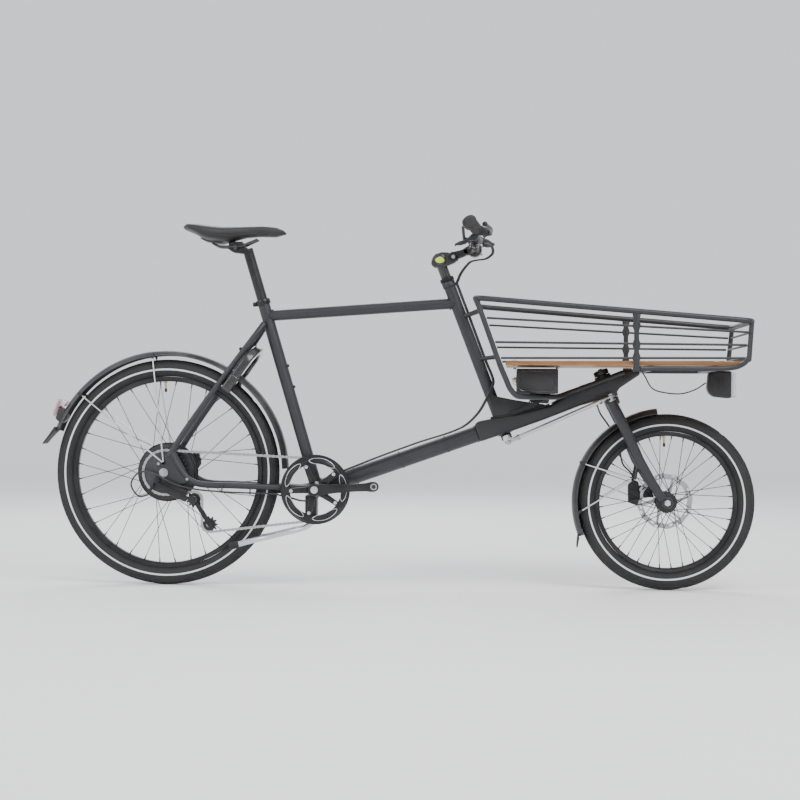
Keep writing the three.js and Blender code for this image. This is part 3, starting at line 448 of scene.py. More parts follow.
LABEL = Finish("label_film", "light_plastic", (0.55, 0.66, 0.03), (0.7, 0.75, 0.3), 0.35, 0.08, 0.0, 0.1,
               900, 0.03, 0.1, 0.05)
BRASS = Finish("valve_brass", "steel", (0.6, 0.42, 0.18), (0.7, 0.6, 0.4), 0.3, 0.1, 1.0, 0.0, 1500, 0.05,
               0.3, 0.05)


# ---- Shape building -----------------------------------------------------------------------
class Shape:
    """A mesh under construction, in millimetres, shaped by bmesh operators."""

    def __init__(self) -> None:
        """Starts an empty mesh."""
        self.bm = bmesh.new()

    def plate(self, outline: Iterable[Point], y0: float, y1: float, bevel: float = 0.0,
              segments: int = 2) -> "Shape":
        """Adds a plate: an outline in X and Z, extruded from y0 to y1.

        Args:
            outline: the corners as (x, z).
            y0: the near face.
            y1: the far face.
            bevel: the edge rounding.
            segments: how many faces the rounding has.
        """
        part = bmesh.new()
        face = part.faces.new([part.verts.new((x, y0, z)) for x, z in outline])
        grown = bmesh.ops.extrude_face_region(part, geom=[face])["geom"]
        bmesh.ops.translate(part, verts=[g for g in grown if isinstance(g, bmesh.types.BMVert)],
                            vec=(0, y1 - y0, 0))
        bmesh.ops.recalc_face_normals(part, faces=part.faces)
        self.round_edges(part, bevel, segments)
        return self.take(part)

    def block(self, low: Point, high: Point, bevel: float = 1.0, segments: int = 3) -> "Shape":
        """Adds a rounded block between two corners.

        Args:
            low: the lowest corner.
            high: the highest corner.
            bevel: the edge rounding.
            segments: how many faces the rounding has.
        """
        low, high = Vector(low), Vector(high)
        part = bmesh.new()
        size = high - low
        place = Matrix.Translation((low + high) / 2) @ Matrix.Diagonal((*size, 1))
        bmesh.ops.create_cube(part, size=1, matrix=place)
        self.round_edges(part, bevel, segments)
        return self.take(part)

    def rod(self, start: Point, end: Point, radius: float, end_radius: float | None = None,
            sides: int = 24, bevel: float = 0.0) -> "Shape":
        """Adds a straight round bar or taper.

        Args:
            start: the centre of the first end.
            end: the centre of the other end.
            radius: the first end's radius.
            end_radius: the other end's radius, if it differs.
            sides: faces round it.
            bevel: the rounding at both ends.
        """
        start, end = Vector(start), Vector(end)
        span = end - start
        part = bmesh.new()
        turn = span.to_track_quat("Z", "Y").to_matrix().to_4x4()
        bmesh.ops.create_cone(part, cap_ends=True, segments=sides, radius1=radius,
                              radius2=radius if end_radius is None else end_radius,
                              depth=span.length, matrix=Matrix.Translation((start + end) / 2) @ turn)
        if bevel:
            rims = [e for f in part.faces if len(f.verts) > 4 for e in f.edges]
            self.round_edges(part, bevel, 2, list(set(rims)))
        return self.take(part)

    def tube(self, points: Sequence[Point], radius: float, resolution: int = 4, fine: int = 6,
             closed: bool = False) -> "Shape":
        """Adds a round tube swept along a smooth curve through points.

        Args:
            points: what the curve passes through.
            radius: the tube's radius.
            resolution: how round the section is.
            fine: steps between two points.
            closed: whether the curve meets itself.
        """
        path = smooth_line([Vector(p) for p in points], fine, closed)
        curve = bpy.data.curves.new("sweep", "CURVE")
        curve.dimensions = "3D"
        curve.bevel_depth = radius
        curve.bevel_resolution = resolution
        curve.use_fill_caps = not closed
        spline = curve.splines.new("POLY")
        spline.points.add(len(path) - 1)
        for knot, place in zip(spline.points, path):
            knot.co = (*place, 1)
        spline.use_cyclic_u = closed
        holder = bpy.data.objects.new("sweep", curve)
        mesh = bpy.data.meshes.new_from_object(holder)
        part = bmesh.new()
        part.from_mesh(mesh)
        bmesh.ops.remove_doubles(part, verts=part.verts, dist=0.01)
        bmesh.ops.recalc_face_normals(part, faces=part.faces)
        bpy.data.objects.remove(holder)
        bpy.data.curves.remove(curve)
        bpy.data.meshes.remove(mesh)
        return self.take(part)

    def turned(self, profile: Sequence[Point], centre: Point = (0, 0, 0), steps: int = 64,
               start: float = 0.0, sweep: float = 360.0, axis: Point = (0, 1, 0)) -> "Shape":
        """Adds a closed profile of (radius, along the axle) spun about the Y axis through a centre.

        Args:
            profile: the closed section.
            centre: the axle's centre.
            steps: faces round it.
            start: the first angle in degrees, counted from +X towards +Z.
            sweep: how far it goes round, in degrees.
            axis: the direction that Y is turned to at the end.
        """
        part = bmesh.new()
        verts = [part.verts.new((r, y, 0)) for r, y in profile]
        full = abs(sweep) >= 360
        if full:
            geometry = verts + [part.edges.new((v, verts[(i + 1) % len(verts)])) for i, v in enumerate(verts)]
        else:
            face = part.faces.new(verts)
            geometry = verts + list(face.edges) + [face]
        bmesh.ops.rotate(part, verts=part.verts, cent=(0, 0, 0),
                         matrix=Matrix.Rotation(-math.radians(start), 3, "Y"))
        bmesh.ops.spin(part, geom=geometry, cent=(0, 0, 0), axis=(0, -1, 0), dvec=(0, 0, 0),
                       angle=math.radians(sweep), steps=steps, use_merge=full,
                       use_normal_flip=False, use_duplicate=False)
        bmesh.ops.remove_doubles(part, verts=part.verts, dist=0.001)
        bmesh.ops.recalc_face_normals(part, faces=part.faces)
        turn = Vector((0, 1, 0)).rotation_difference(Vector(axis)).to_matrix().to_4x4()
        bmesh.ops.transform(part, matrix=Matrix.Translation(Vector(centre)) @ turn, verts=part.verts)
        return self.take(part)

    def ball(self, centre: Point, radius: float, squash: Point = (1, 1, 1)) -> "Shape":
        """Adds a smooth dome or bead."""
        part = bmesh.new()
        place = Matrix.Translation(Vector(centre)) @ Matrix.Diagonal((*squash, 1))
        bmesh.ops.create_uvsphere(part, u_segments=20, v_segments=12, radius=radius, matrix=place)
        return self.take(part)

    @staticmethod
    def round_edges(part, bevel: float, segments: int, edges: list | None = None) -> None:
        """Rounds a part's sharp edges."""
        if bevel <= 0:
            return
        sharp = edges or [e for e in part.edges if len(e.link_faces) == 2 and e.calc_face_angle(0) > 0.35]
        bmesh.ops.bevel(part, geom=sharp, offset=bevel, offset_type="OFFSET", affect="EDGES",
                        segments=segments, profile=0.5, material=-1, clamp_overlap=True)

    def take(self, part) -> "Shape":
        """Moves a finished part's mesh into this shape."""
        mesh = bpy.data.meshes.new("part")
        part.to_mesh(mesh)
        part.free()
        self.bm.from_mesh(mesh)
        bpy.data.meshes.remove(mesh)
        return self

    def turn(self, angle: float, centre: Point, axis: str = "Y") -> "Shape":
        """Turns the shape by an angle in radians about an axis through a point."""
        bmesh.ops.rotate(self.bm, verts=self.bm.verts, cent=centre, matrix=Matrix.Rotation(angle, 3, axis))
        return self

    def place(self, matrix: Matrix) -> "Shape":
        """Applies a whole placement."""
        bmesh.ops.transform(self.bm, verts=self.bm.verts, matrix=matrix)
        return self

    def piece(self, name: str, body: Body | None, finish: Finish, replaces: Sequence[str] = (),
              angle: float = 35.0) -> bpy.types.Object:
        """Finishes the shape as a named piece on a body.

        Args:
            name: the piece's name.
            body: the body it rides on, or None for one that crosses a joint and is left on no body.
            finish: what it is made of.
            replaces: the CAD nodes it stands for.
            angle: edges sharper than this stay crisp, in degrees.

        Returns:
            The new object.
        """
        bmesh.ops.scale(self.bm, vec=(MM, MM, MM), verts=self.bm.verts)
        mesh = bpy.data.meshes.new(name)
        self.bm.to_mesh(mesh)
        self.bm.free()
        mesh.shade_smooth()
        mesh.set_sharp_from_angle(angle=math.radians(angle))
        mesh.materials.append(finish.build())
        item = bpy.data.objects.new(name, mesh)
        bpy.context.scene.collection.objects.link(item)
        if body:
            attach(item, body.value)
        if replaces:
            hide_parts(*replaces)
        log.info("%s: %d faces on %s", name, len(mesh.polygons), body.value if body else "two bodies")
        return item


def smooth_line(points: list[Vector], fine: int, closed: bool = False) -> list[Vector]:
    """Points along a smooth curve that passes through the given ones.

    Args:
        points: what the curve passes through.
        fine: steps between two points.
        closed: whether it runs back to its start.

    Returns:
        The finer line.
    """
    if len(points) == 2:
        return points
    line = []
    count = len(points)
    spans = count if closed else count - 1
    for i in range(spans):
        before, here = points[i - 1] if closed or i else points[0], points[i]
        after = points[(i + 1) % count]
        beyond = points[(i + 2) % count] if closed or i + 2 < count else after
        reach = (after - here).length
        lead = (after - before) * (reach / max((after - here).length + (here - before).length, 1e-6))
        tail = (beyond - here) * (reach / max((beyond - after).length + reach, 1e-6))
        for k in range(fine):
            t = k / fine
            line.append(here * (2 * t**3 - 3 * t**2 + 1) + lead * (t**3 - 2 * t**2 + t)
                        + after * (3 * t**2 - 2 * t**3) + tail * (t**3 - t**2))
    if not closed:
        line.append(points[-1])
    return line


def toothed(teeth: int, pitch: float, depth: float) -> list[tuple[float, float]]:
    """The outline of a chain sprocket about its centre.

    Args:
        teeth: how many.
        pitch: the pitch radius.
        depth: half the tooth height.

    Returns:
        Points as (x, z).
    """
    shape = ((-0.5, -1.0), (-0.3, -0.9), (-0.12, 0.85), (0.12, 0.85), (0.3, -0.9))
    points = []
    for i in range(teeth):
        for across, up in shape:
            turn = 2 * math.pi * (i + across) / teeth
            points.append(((pitch + depth * up) * math.cos(turn), (pitch + depth * up) * math.sin(turn)))
    return points


# ---- Wheels -------------------------------------------------------------------------------
@dataclass
class Wheel:
    """A tyre, a rim and its laced spokes."""

    label: str
    axle: Vector
    bead: float
    outer: float
    inner: float
    flange: float
    flange_half: float
    body: Body
    rubber: Finish
    spokes: int = 36
    treads: int = 150

    def build(self) -> None:
        """Builds and dresses the wheel."""
        self.tyre()
        self.rim()
        self.lacing()
        self.valve()

    def tyre(self) -> None:
        """The casing with rounded shoulders and a block tread cut into its crown."""
        height = self.outer - self.bead
        section = []
        for i in range(29):
            turn = math.pi * (-0.5 + i / 28) * 1.72
            reach = self.outer - 1.6 - height / 2 + height / 2 * math.cos(turn)
            section.append((max(reach, self.bead + 0.4), 25.0 * math.sin(turn)))
        shape = Shape().turned([(r, y) for r, y in section], self.axle, steps=self.treads)
        self.raise_tread(shape.bm)
        shape.piece(f"{self.label}_tyre_casing", self.body, self.rubber, [f"{self.label}_tyre"], 28)

    def raise_tread(self, bm: bmesh.types.BMesh) -> None:
        """Raises alternate blocks of the crown by the tread's depth."""
        crown = [f for f in bm.faces if (Vector((f.calc_center_median().x - self.axle.x, 0,
                 f.calc_center_median().z - self.axle.z)).length > self.outer - 11)]
        blocks = []
        for face in crown:
            middle = face.calc_center_median()
            turn = math.atan2(middle.z - self.axle.z, middle.x - self.axle.x) / (2 * math.pi) * self.treads
            if (round(turn) + round(middle.y / 4.0)) % 3:
                blocks.append(face)
        bmesh.ops.inset_individual(bm, faces=blocks, thickness=0.9, depth=0)
        for face in blocks:
            normal = face.normal.copy()
            for vert in face.verts:
                vert.co += normal * 1.3

    def rim(self) -> None:
        """The black rim: deep section with a machined-looking lip on each side."""
        inner, bead = self.inner, self.bead
        profile = [(inner, -8), (inner + 2, -10), (inner + 8, -11.5), (bead - 1.5, -12.5),
                   (bead + 0.2, -12.5),
                   (bead + 0.2, -9), (bead - 2, -9), (bead - 3, 0), (bead - 2, 9), (bead + 0.2, 9),
                   (bead + 0.2, 12.5), (bead - 1.5, 12.5), (inner + 8, 11.5), (inner + 2, 10), (inner, 8),
                   (inner - 1, 0)]
        shape = Shape().turned(profile, self.axle, steps=128)
        shape.piece(f"{self.label}_rim_hoop", self.body, BLACK, [f"{self.label}_rim"], 25)

    def lacing(self) -> None:
        """Crossed spokes with a nipple at the rim and a hooked head at the flange."""
        wires, nipples = Shape(), Shape()
        for i in range(self.spokes):
            turn = 2 * math.pi * (i + 0.5) / self.spokes
            side = -1 if i % 2 else 1
            lean = (1 if i % 4 < 2 else -1) * self.lean()
            out = Vector((math.cos(turn), 0, math.sin(turn)))
            foot = Vector((math.cos(turn + lean), 0, math.sin(turn + lean))) * (self.flange - 4)
            foot.y = side * self.flange_half
            end = out * (self.inner + 0.5)
            wires.rod(self.axle + foot, self.axle + end, 1.0, sides=6)
            way = (foot - end).normalized()
            nipples.rod(self.axle + end, self.axle + end + way * 12, 2.1, 1.7, sides=8)
            nipples.rod(self.axle + foot + Vector((0, side * 0.2, 0)),
                        self.axle + foot + Vector((0, side * 2.4, 0)), 2.2, sides=8)
        wires.piece(f"{self.label}_spokes", self.body, BLACK)
        nipples.piece(f"{self.label}_nipples", self.body, BLACK)

    def lean(self) -> float:
        """How far round the hub a spoke starts from where it ends, in radians."""
        return 0.5 if self.flange > 60 else 1.15

    def valve(self) -> None:
        """The valve stem through the rim, with its cap."""
        turn = math.radians(92)
        out = Vector((math.cos(turn), 0, math.sin(turn)))
        start = self.axle + out * (self.inner - 1)
        Shape().rod(start, start - out * 22, 3, sides=14).rod(start - out * 1, start - out * 4, 5.5,
                sides=6).piece(
            f"{self.label}_valve", self.body, BRASS)
        Shape().rod(start - out * 20, start - out * 31, 4, 3.4, sides=14, bevel=0.8).piece(
            f"{self.label}_valve_cap", self.body, PLASTIC)


@dataclass
class DiscRotor:
    """A slotted brake disc with a wavy edge on a spidered carrier."""

    label: str
    axle: Vector
    plane: float
    body: Body
    radius: float = 80.0
    arms: int = 6

    def build(self) -> None:
        """Builds the disc from a ring of faces with drilled slots."""
        part = bmesh.new()
        steps, rings = 96, (self.radius - 15, self.radius - 11, self.radius - 6.5, self.radius - 2,
                            self.radius)
        grid = []
        for i in range(steps):
            turn = 2 * math.pi * i / steps
            reaches = [r + 1.2 * math.sin(12 * turn) for r in rings]
            grid.append([[part.verts.new((r * math.cos(turn), y, r * math.sin(turn))) for r in reaches]
                         for y in (-0.9, 0.9)])
        cells = {(i, j) for i in range(steps) for j in range(len(rings) - 1) if not self.slotted(i, j)}
        for i, j in cells:
            k = (i + 1) % steps
            (low, high), (low_next, high_next) = grid[i], grid[k]
            part.faces.new((low[j], low[j + 1], low_next[j + 1], low_next[j]))
            part.faces.new((high[j], high_next[j], high_next[j + 1], high[j + 1]))
            edges = {(i, j - 1): ((low[j], low_next[j]), (high[j], high_next[j])),
                     (i, j + 1): ((low[j + 1], low_next[j + 1]), (high[j + 1], high_next[j + 1])),
                     ((i - 1) % steps, j): ((low[j], low[j + 1]), (high[j], high[j + 1])),
                     (k, j): ((low_next[j], low_next[j + 1]), (high_next[j], high_next[j + 1]))}
            for beside, ((a, b), (c, d)) in edges.items():
                if beside not in cells:
                    part.faces.new((a, b, d, c))
        bmesh.ops.recalc_face_normals(part, faces=part.faces[:])
        shape = Shape().take(part)
        for i in range(self.arms):
            arm = Shape().plate([(14, -5), (34, -3.5), (self.radius - 13, 9), (self.radius - 13, 16),
                                 (32, 5), (14, 6)], -0.9, 0.9, 0.3)
            arm.turn(2 * math.pi * i / self.arms, (0, 0, 0))
            shape.take(arm.bm)
        shape.turned([(9, -1.2), (20, -1.2), (20, 1.2), (9, 1.2)], steps=40)
        for i in range(self.arms):
            turn = 2 * math.pi * i / self.arms
            spot = Vector((16 * math.cos(turn), 0, 16 * math.sin(turn)))
            shape.rod(spot + Vector((0, 1, 0)), spot + Vector((0, 3, 0)), 2.6, sides=12, bevel=0.5)
        shape.place(Matrix.Translation(self.axle + Vector((0, self.plane, 0))))
        shape.piece(f"{self.label}_brake_disc", self.body, STEEL, angle=25)

    @staticmethod
    def slotted(i: int, j: int) -> bool:
        """Whether one cell of the disc is a drilled slot."""
        return j in (1, 2) and (i + 3 * j) % 6 in (0, 1) and j == 1 + (i // 6) % 2


@dataclass
class Hubs:
    """The rear hub motor, the front hub and both brake discs."""

    motor_radius: float = 86.0
    bolts: int = 8

    def build(self) -> None:
        """Builds the hubs."""
        r = self.motor_radius
        shell = Shape().turned([(7, -34), (19, -34), (22, -32), (r - 24, -31), (r - 14, -29.5), (r - 7, -27),
                                (r - 4, -24), (r - 4, -20), (r, -20), (r, -17), (r - 5, -16), (r - 5, 16),
                                (r, 17),
                                (r, 20), (r - 4, 20), (r - 4, 24), (r - 7, 27), (r - 14, 29.5), (r - 24, 31),
                                (26, 32.5), (24, 40), (7, 40)], REAR_AXLE, steps=96)
        for side in SIDES:
            for i in range(self.bolts):
                turn = 2 * math.pi * (i + 0.5) / self.bolts
                spot = REAR_AXLE + Vector(((r - 19) * math.cos(turn), side * 30.2, (r - 19) * math.sin(turn)))
                shell.rod(spot, spot + Vector((0, side * 2, 0)), 3.4, sides=16, bevel=0.7)
        shell.piece("motor_shell", Body.REAR_WHEEL, MOTOR, ["rear_hub_motor"], 30)
        hub = Shape().turned([(7, -44), (12, -44), (13, -40), (17, -36), (29, -33), (30, -32), (30, -29),
                              (28, -28),
                              (16, -23), (13.5, -14), (13.5, 14), (16, 23), (28, 28), (30, 29), (30, 32),
                              (29, 33),
                              (21, 35), (20, 38), (12, 41), (12, 44), (7, 44)], FRONT_AXLE, steps=56)
        hub.piece("front_hub_shell", Body.FRONT_WHEEL, BLACK, ["front_hub"], 30)
        DiscRotor("rear", REAR_AXLE, 42, Body.REAR_WHEEL).build()
        DiscRotor("front", FRONT_AXLE, 39, Body.FRONT_WHEEL).build()
        ends = Shape().rod((-669, -86, 330), (-669, 86, 330), 5.8)
        for side in SIDES:
            ends.rod((-669, side * 70.4, 330), (-669, side * 73, 330), 13, sides=28, bevel=0.5)
            ends.rod((-669, side * 73, 330), (-669, side * 82, 330), 10.5, sides=6, bevel=0.8)
        ends.piece("rear_axle_and_nuts", Body.FRAME, STEEL, ["rear_axle"])


# ---- Drivetrain ---------------------------------------------------------------------------
def belt_line(circles: Sequence[tuple[float, float, float]]) -> list[Vector]:
    """The closed line of a chain round directed circles, in X and Z.

    Args:
        circles: (x, z, radius), with a negative radius where the chain passes on the other side.

    Returns:
        Points at even fine steps along arcs and straight runs.
    """
    count = len(circles)
    heading = []
    for i, (x, z, r) in enumerate(circles):
        x2, z2, r2 = circles[(i + 1) % count]
        span = math.hypot(x2 - x, z2 - z)
        heading.append(math.atan2(z2 - z, x2 - x) + math.asin((r - r2) / span))
    line = []
    for i, (x, z, r) in enumerate(circles):
        start = heading[i - 1] - math.pi / 2
        sweep = math.fmod(heading[i] - math.pi / 2 - start, 2 * math.pi)
        if r > 0 > sweep:
            sweep += 2 * math.pi
        if r < 0 < sweep:
            sweep -= 2 * math.pi
        steps = max(6, int(abs(sweep) * 16))
        for k in range(steps + 1):
            turn = start + sweep * k / steps
            line.append(Vector((x + r * math.cos(turn), CHAIN_PLANE, z + r * math.sin(turn))))
    return line


@dataclass
class Chain:
    """A roller chain of separate links along its run."""

    pitch: float = CHAIN_PITCH

    def build(self) -> None:
        """Lays alternate inner and outer links along the belt line."""
        line = belt_line([(BRACKET.x, BRACKET.z, 89), (REAR_AXLE.x, REAR_AXLE.z, 64.8),
                          (GUIDE.x, GUIDE.z, -22.5), (TENSION.x, TENSION.z, 22.5)])
        knots = self.spaced(line)
        shape = Shape()
        for i, here in enumerate(knots):
            after = knots[(i + 1) % len(knots)]
            self.link(shape, here, after, 3.1 if i % 2 else 2.1)
        shape.piece("chain_links", Body.FRAME, STEEL, ["chain"], 40)

    def spaced(self, line: list[Vector]) -> list[Vector]:
        """Points a pitch apart along the closed line."""
        loop = line + [line[0]]
        total = sum((b - a).length for a, b in zip(loop, loop[1:]))
        count = 2 * round(total / self.pitch / 2)
        step = total / count
        knots, travelled, due = [], 0.0, 0.0
        for a, b in zip(loop, loop[1:]):
            reach = (b - a).length
            while due <= travelled + reach and len(knots) < count and reach > 0:
                knots.append(a.lerp(b, (due - travelled) / reach))
                due += step
            travelled += reach
        return knots

    def link(self, shape: Shape, here: Vector, after: Vector, half: float) -> None:
        """Adds one link: two waisted plates and a roller."""
        way = math.atan2(after.z - here.z, after.x - here.x)
        reach = (after - here).length
        outline = [(-4, -1.6), (-2, -3.7), (2.2, -3.9), (reach / 2, -2.6), (reach - 2.2, -3.9),
                   (reach + 2, -3.7),
                   (reach + 4, -1.6), (reach + 4, 1.6), (reach + 2, 3.7), (reach - 2.2, 3.9),
                   (reach / 2, 2.6),
                   (2.2, 3.9), (-2, 3.7), (-4, 1.6)]
        for side in SIDES:
            near = side * half
            plate = Shape().plate(outline, min(near, near + side * 0.9), max(near, near + side * 0.9))
            plate.turn(-way, (0, 0, 0)).place(Matrix.Translation(here))
            shape.take(plate.bm)
        shape.rod(here + Vector((0, -2, 0)), here + Vector((0, 2, 0)), 3.0, sides=8)
        shape.rod(here + Vector((0, -4.4, 0)), here + Vector((0, 4.4, 0)), 1.5, sides=6)


@dataclass
class Drivetrain:
    """Sprockets, chainring, cranks, derailleur and jockey wheels."""

    cogs: tuple[int, ...] = (32, 28, 24, 21, 18, 16, 14, 11)
    crank_length: float = 172.0
    crank_angle: float = math.radians(3.4)

    def build(self) -> None:
        """Builds every driven piece."""
        Chain().build()
        self.sprockets()
        self.chainring()
        self.cranks()
        self.derailleur()
        for label, centre, body in (("guide", GUIDE, Body.GUIDE), ("tension", TENSION, Body.TENSION)):
            self.jockey(label, centre, body)

    @staticmethod
    def wheel_at(outline: Sequence[Point], centre: Vector, y0: float, y1: float) -> Shape:
        """A flat toothed disc about a centre."""
        return Shape().plate([(x + centre.x, z + centre.z) for x, z in outline], y0, y1)

    def sprockets(self) -> None:
        """The stack of toothed cogs on their carrier, with the lock ring."""
        stack = Shape()
        for i, teeth in enumerate(self.cogs):
            pitch = CHAIN_PITCH / (2 * math.sin(math.pi / teeth))
            y1 = -43.8 - i * 1.95
            stack.take(self.wheel_at(toothed(teeth, pitch - 0.5, 3.6), REAR_AXLE, y1 - 1.5, y1).bm)
        stack.turned([(7, -59), (15, -59), (17, -57), (17, -35.5), (7, -35.5)], REAR_AXLE, steps=36)
        stack.piece("sprocket_stack", Body.SPROCKETS, DARK_STEEL, ["cassette"], 30)

    def chainring(self) -> None:
        """The toothed ring and the round chain guard outside it."""
        ring = Shape().turned([(75, -46.6), (87, -46.6), (87, -43.6), (75, -43.6)], BRACKET, steps=88)
        for i in range(44):
            turn = 2 * math.pi * i / 44
            tooth = Shape().plate([(86, -3.4), (88.5, -2.4), (92, -1), (92, 1), (88.5, 2.4), (86, 3.4)],
                                  -46.3, -43.9)
            ring.take(tooth.turn(-turn, (0, 0, 0)).place(Matrix.Translation((BRACKET.x, 0, BRACKET.z))).bm)
        ring.piece("chainring_teeth", Body.CRANKS, BLACK, angle=30)
        guard = Shape().turned([(77, -53.5), (78, -54), (84, -54), (86, -53), (95, -53), (97, -54),
                                (100, -54),
                                (101, -53), (101, -51.5), (99, -50.5), (80, -50.5), (77, -51)],
                               BRACKET, steps=110)
        guard.piece("chain_guard", Body.CRANKS, BLACK, ["chainring"], 25)
        milled = Shape()
        for i in range(5):
            middle = 2 * math.pi * (i + 1.05) / 5
            petal = [(middle + math.radians(a), r) for a, r in
                     ((-27, 85), (-18, 90), (0, 92), (18, 90), (27, 85), (20, 76.5), (0, 74.5), (-20, 76.5))]
            loop = [BRACKET + Vector((r * math.cos(t), -54.1, r * math.sin(t))) for t, r in petal]
            milled.tube(loop, 0.9, 2, 5, closed=True)
        milled.piece("guard_milled_edges", Body.CRANKS, SILVER)
        for i in range(5):
            turn = 2 * math.pi * (i + 0.55) / 5
            spot = BRACKET + Vector((70 * math.cos(turn), -58.8, 70 * math.sin(turn)))
            bolt = Shape().rod(spot, spot + Vector((0, -2.4, 0)), 5, sides=24, bevel=0.6)
            bolt.rod(spot + Vector((0, -2.4, 0)), spot + Vector((0, -2.8, 0)), 2.6, sides=6)
            bolt.piece(f"chainring_bolt_{i + 1}", Body.CRANKS, SILVER)

    def arm(self, turn: float, y0: float, y1: float) -> Shape:
        """One forged crank arm with its threaded eye."""
        outline = []
        reach = self.crank_length
        for x, half in ((-10, 13), (0, 17), (20, 16), (60, 12.5), (120, 11), (reach - 22, 12),
                        (reach - 8, 14.5)):
            outline.append((x, -half))
        for k in range(9):
            tip = -math.pi / 2 + math.pi * k / 8
            outline.append((reach + 14.5 * math.cos(tip), 14.5 * math.sin(tip)))
        outline += [(x, -z) for x, z in reversed(outline[:7])]
        arm = Shape().plate(outline, y0, y1, 3.2, 3)
        return arm.turn(-turn, (0, 0, 0)).place(Matrix.Translation(BRACKET))

    def cranks(self) -> None:
        """Both cranks, the five-arm spider, the axle and its bolts."""
        right = self.arm(self.crank_angle, -80, -66)
        for i in range(5):
            leg = Shape().plate([(8, -12), (30, -9), (62, -7.5), (74, -7.5), (79, -3), (79, 3), (74, 7.5),
                                 (62, 7.5), (30, 9), (8, 12)], -59, -54.3, 1.4, 2)
            leg.turn(-2 * math.pi * (i + 0.55) / 5, (0, 0, 0)).place(Matrix.Translation(BRACKET))
            right.take(leg.bm)
        right.turned([(1, -80.5), (15, -80.5), (19, -77), (20, -66), (24, -59), (24, -54.3), (1, -54.3)],
                     BRACKET, steps=48)
        right.rod(BRACKET + Vector((0, -54, 0)), BRACKET + Vector((0, 64, 0)), 9)
        right.piece("crank_and_spider", Body.CRANKS, BLACK, ["crank_right"], 35)
        left = self.arm(self.crank_angle + math.pi, 66, 80)
        left.turned([(1, 64), (16, 64), (19, 68), (19, 77), (15, 80.5), (1, 80.5)], BRACKET, steps=48)
        left.piece("crank_arm_left", Body.CRANKS, BLACK, ["crank_left"], 35)
        for side, turn in ((-1, self.crank_angle), (1, self.crank_angle + math.pi)):
            eye = BRACKET + Vector((math.cos(turn), 0, math.sin(turn))) * self.crank_length
            name = "right" if side < 0 else "left"
            bush = Shape().turned([(5.6, 79.2), (9.5, 79.2), (9.5, 80.6), (8.5, 81), (6.2, 81), (5.6, 80)],
                                  (eye.x, 0, eye.z), steps=32)
            bush = bush if side > 0 else self.flip(bush)
            bush.piece(f"pedal_thread_{name}", Body.CRANKS, STEEL)
            hole = Shape().rod((eye.x, side * 79.4, eye.z), (eye.x, side * 80.2, eye.z), 6.4, sides=28)
            hole.piece(f"pedal_eye_shadow_{name}", Body.CRANKS, CABLE)
            cap = Shape().rod((BRACKET.x, side * 80, BRACKET.z), (BRACKET.x, side * 82.4, BRACKET.z), 10.5,
                              sides=32, bevel=1.0)
            cap.rod((BRACKET.x, side * 82.4, BRACKET.z), (BRACKET.x, side * 82.9, BRACKET.z), 4, sides=6)
            cap.piece(f"crank_bolt_{name}", Body.CRANKS, SILVER)

    @staticmethod
    def flip(shape: Shape) -> Shape:
        """The same shape on the other side of the bicycle."""
        bmesh.ops.scale(shape.bm, vec=(1, -1, 1), verts=shape.bm.verts)
        bmesh.ops.reverse_faces(shape.bm, faces=shape.bm.faces)
        return shape

    def derailleur(self) -> None:
        """The hanger bolt, the parallelogram, the knuckle and the pulley cage."""
        body = Shape().plate([(-697, 316), (-690, 322), (-676, 320), (-664, 306), (-640, 298), (-612, 290),
                              (-600, 278), (-606, 266), (-650, 270), (-680, 274), (-694, 286)], -77, -71,
                             1.8, 3)
        body.plate([(-684, 303), (-640, 284), (-604, 270), (-594, 256), (-604, 246), (-640, 262),
                    (-686, 284)],
                   -82, -78.2, 1.4, 2)
        body.rod((-583, -80, 252), (-583, -53.2, 252), 12, sides=32, bevel=1.5)
        body.rod((-686, -84, 309), (-686, -70.5, 309), 8.5, sides=28, bevel=1.2)
        body.rod((-696, -75, 300), (-708, -75, 276), 4.6, sides=18, bevel=0.8)
        body.piece("derailleur_body", Body.FRAME, BLACK, ["derailleur"], 35)
        cage = Shape()
        for y0, y1 in ((-53, -50.8), (-39.4, -37.2)):
            outline = []
            for k in range(9):
                tip = 2.129 + math.pi * k / 8
                outline.append((GUIDE.x + 11 * math.cos(tip - 0.56), GUIDE.z + 11 * math.sin(tip - 0.56)))
            outline += [(x + TENSION.x - GUIDE.x, z + TENSION.z - GUIDE.z) for x, z in self.facing(outline)]
            cage.plate(outline, y0, y1, 0.5, 1)
        for centre in (GUIDE, TENSION):
            cage.rod((centre.x, -54.4, centre.z), (centre.x, -36, centre.z), 3.4, sides=16)
        cage.piece("derailleur_cage", Body.FRAME, BLACK)

    @staticmethod
    def facing(outline: Sequence[Point]) -> list[tuple[float, float]]:
        """The half circle's points on the other side of the guide pulley's centre."""
        return [(2 * GUIDE.x - x, 2 * GUIDE.z - z) for x, z in outline]

    def jockey(self, label: str, centre: Vector, body: Body) -> None:
        """A toothed pulley with its bearing ring."""
        wheel = self.wheel_at(toothed(11, 21.4, 3.2), centre, -46.6, -43.4)
        wheel.piece(f"{label}_jockey_wheel", body, PLASTIC, [f"{label}_pulley"], 30)
        Shape().turned([(4, -47.6), (9, -47.6), (9, -42.4), (4, -42.4)], (centre.x, 0, centre.z),
                       steps=28).piece(
            f"{label}_jockey_bearing", body, STEEL)


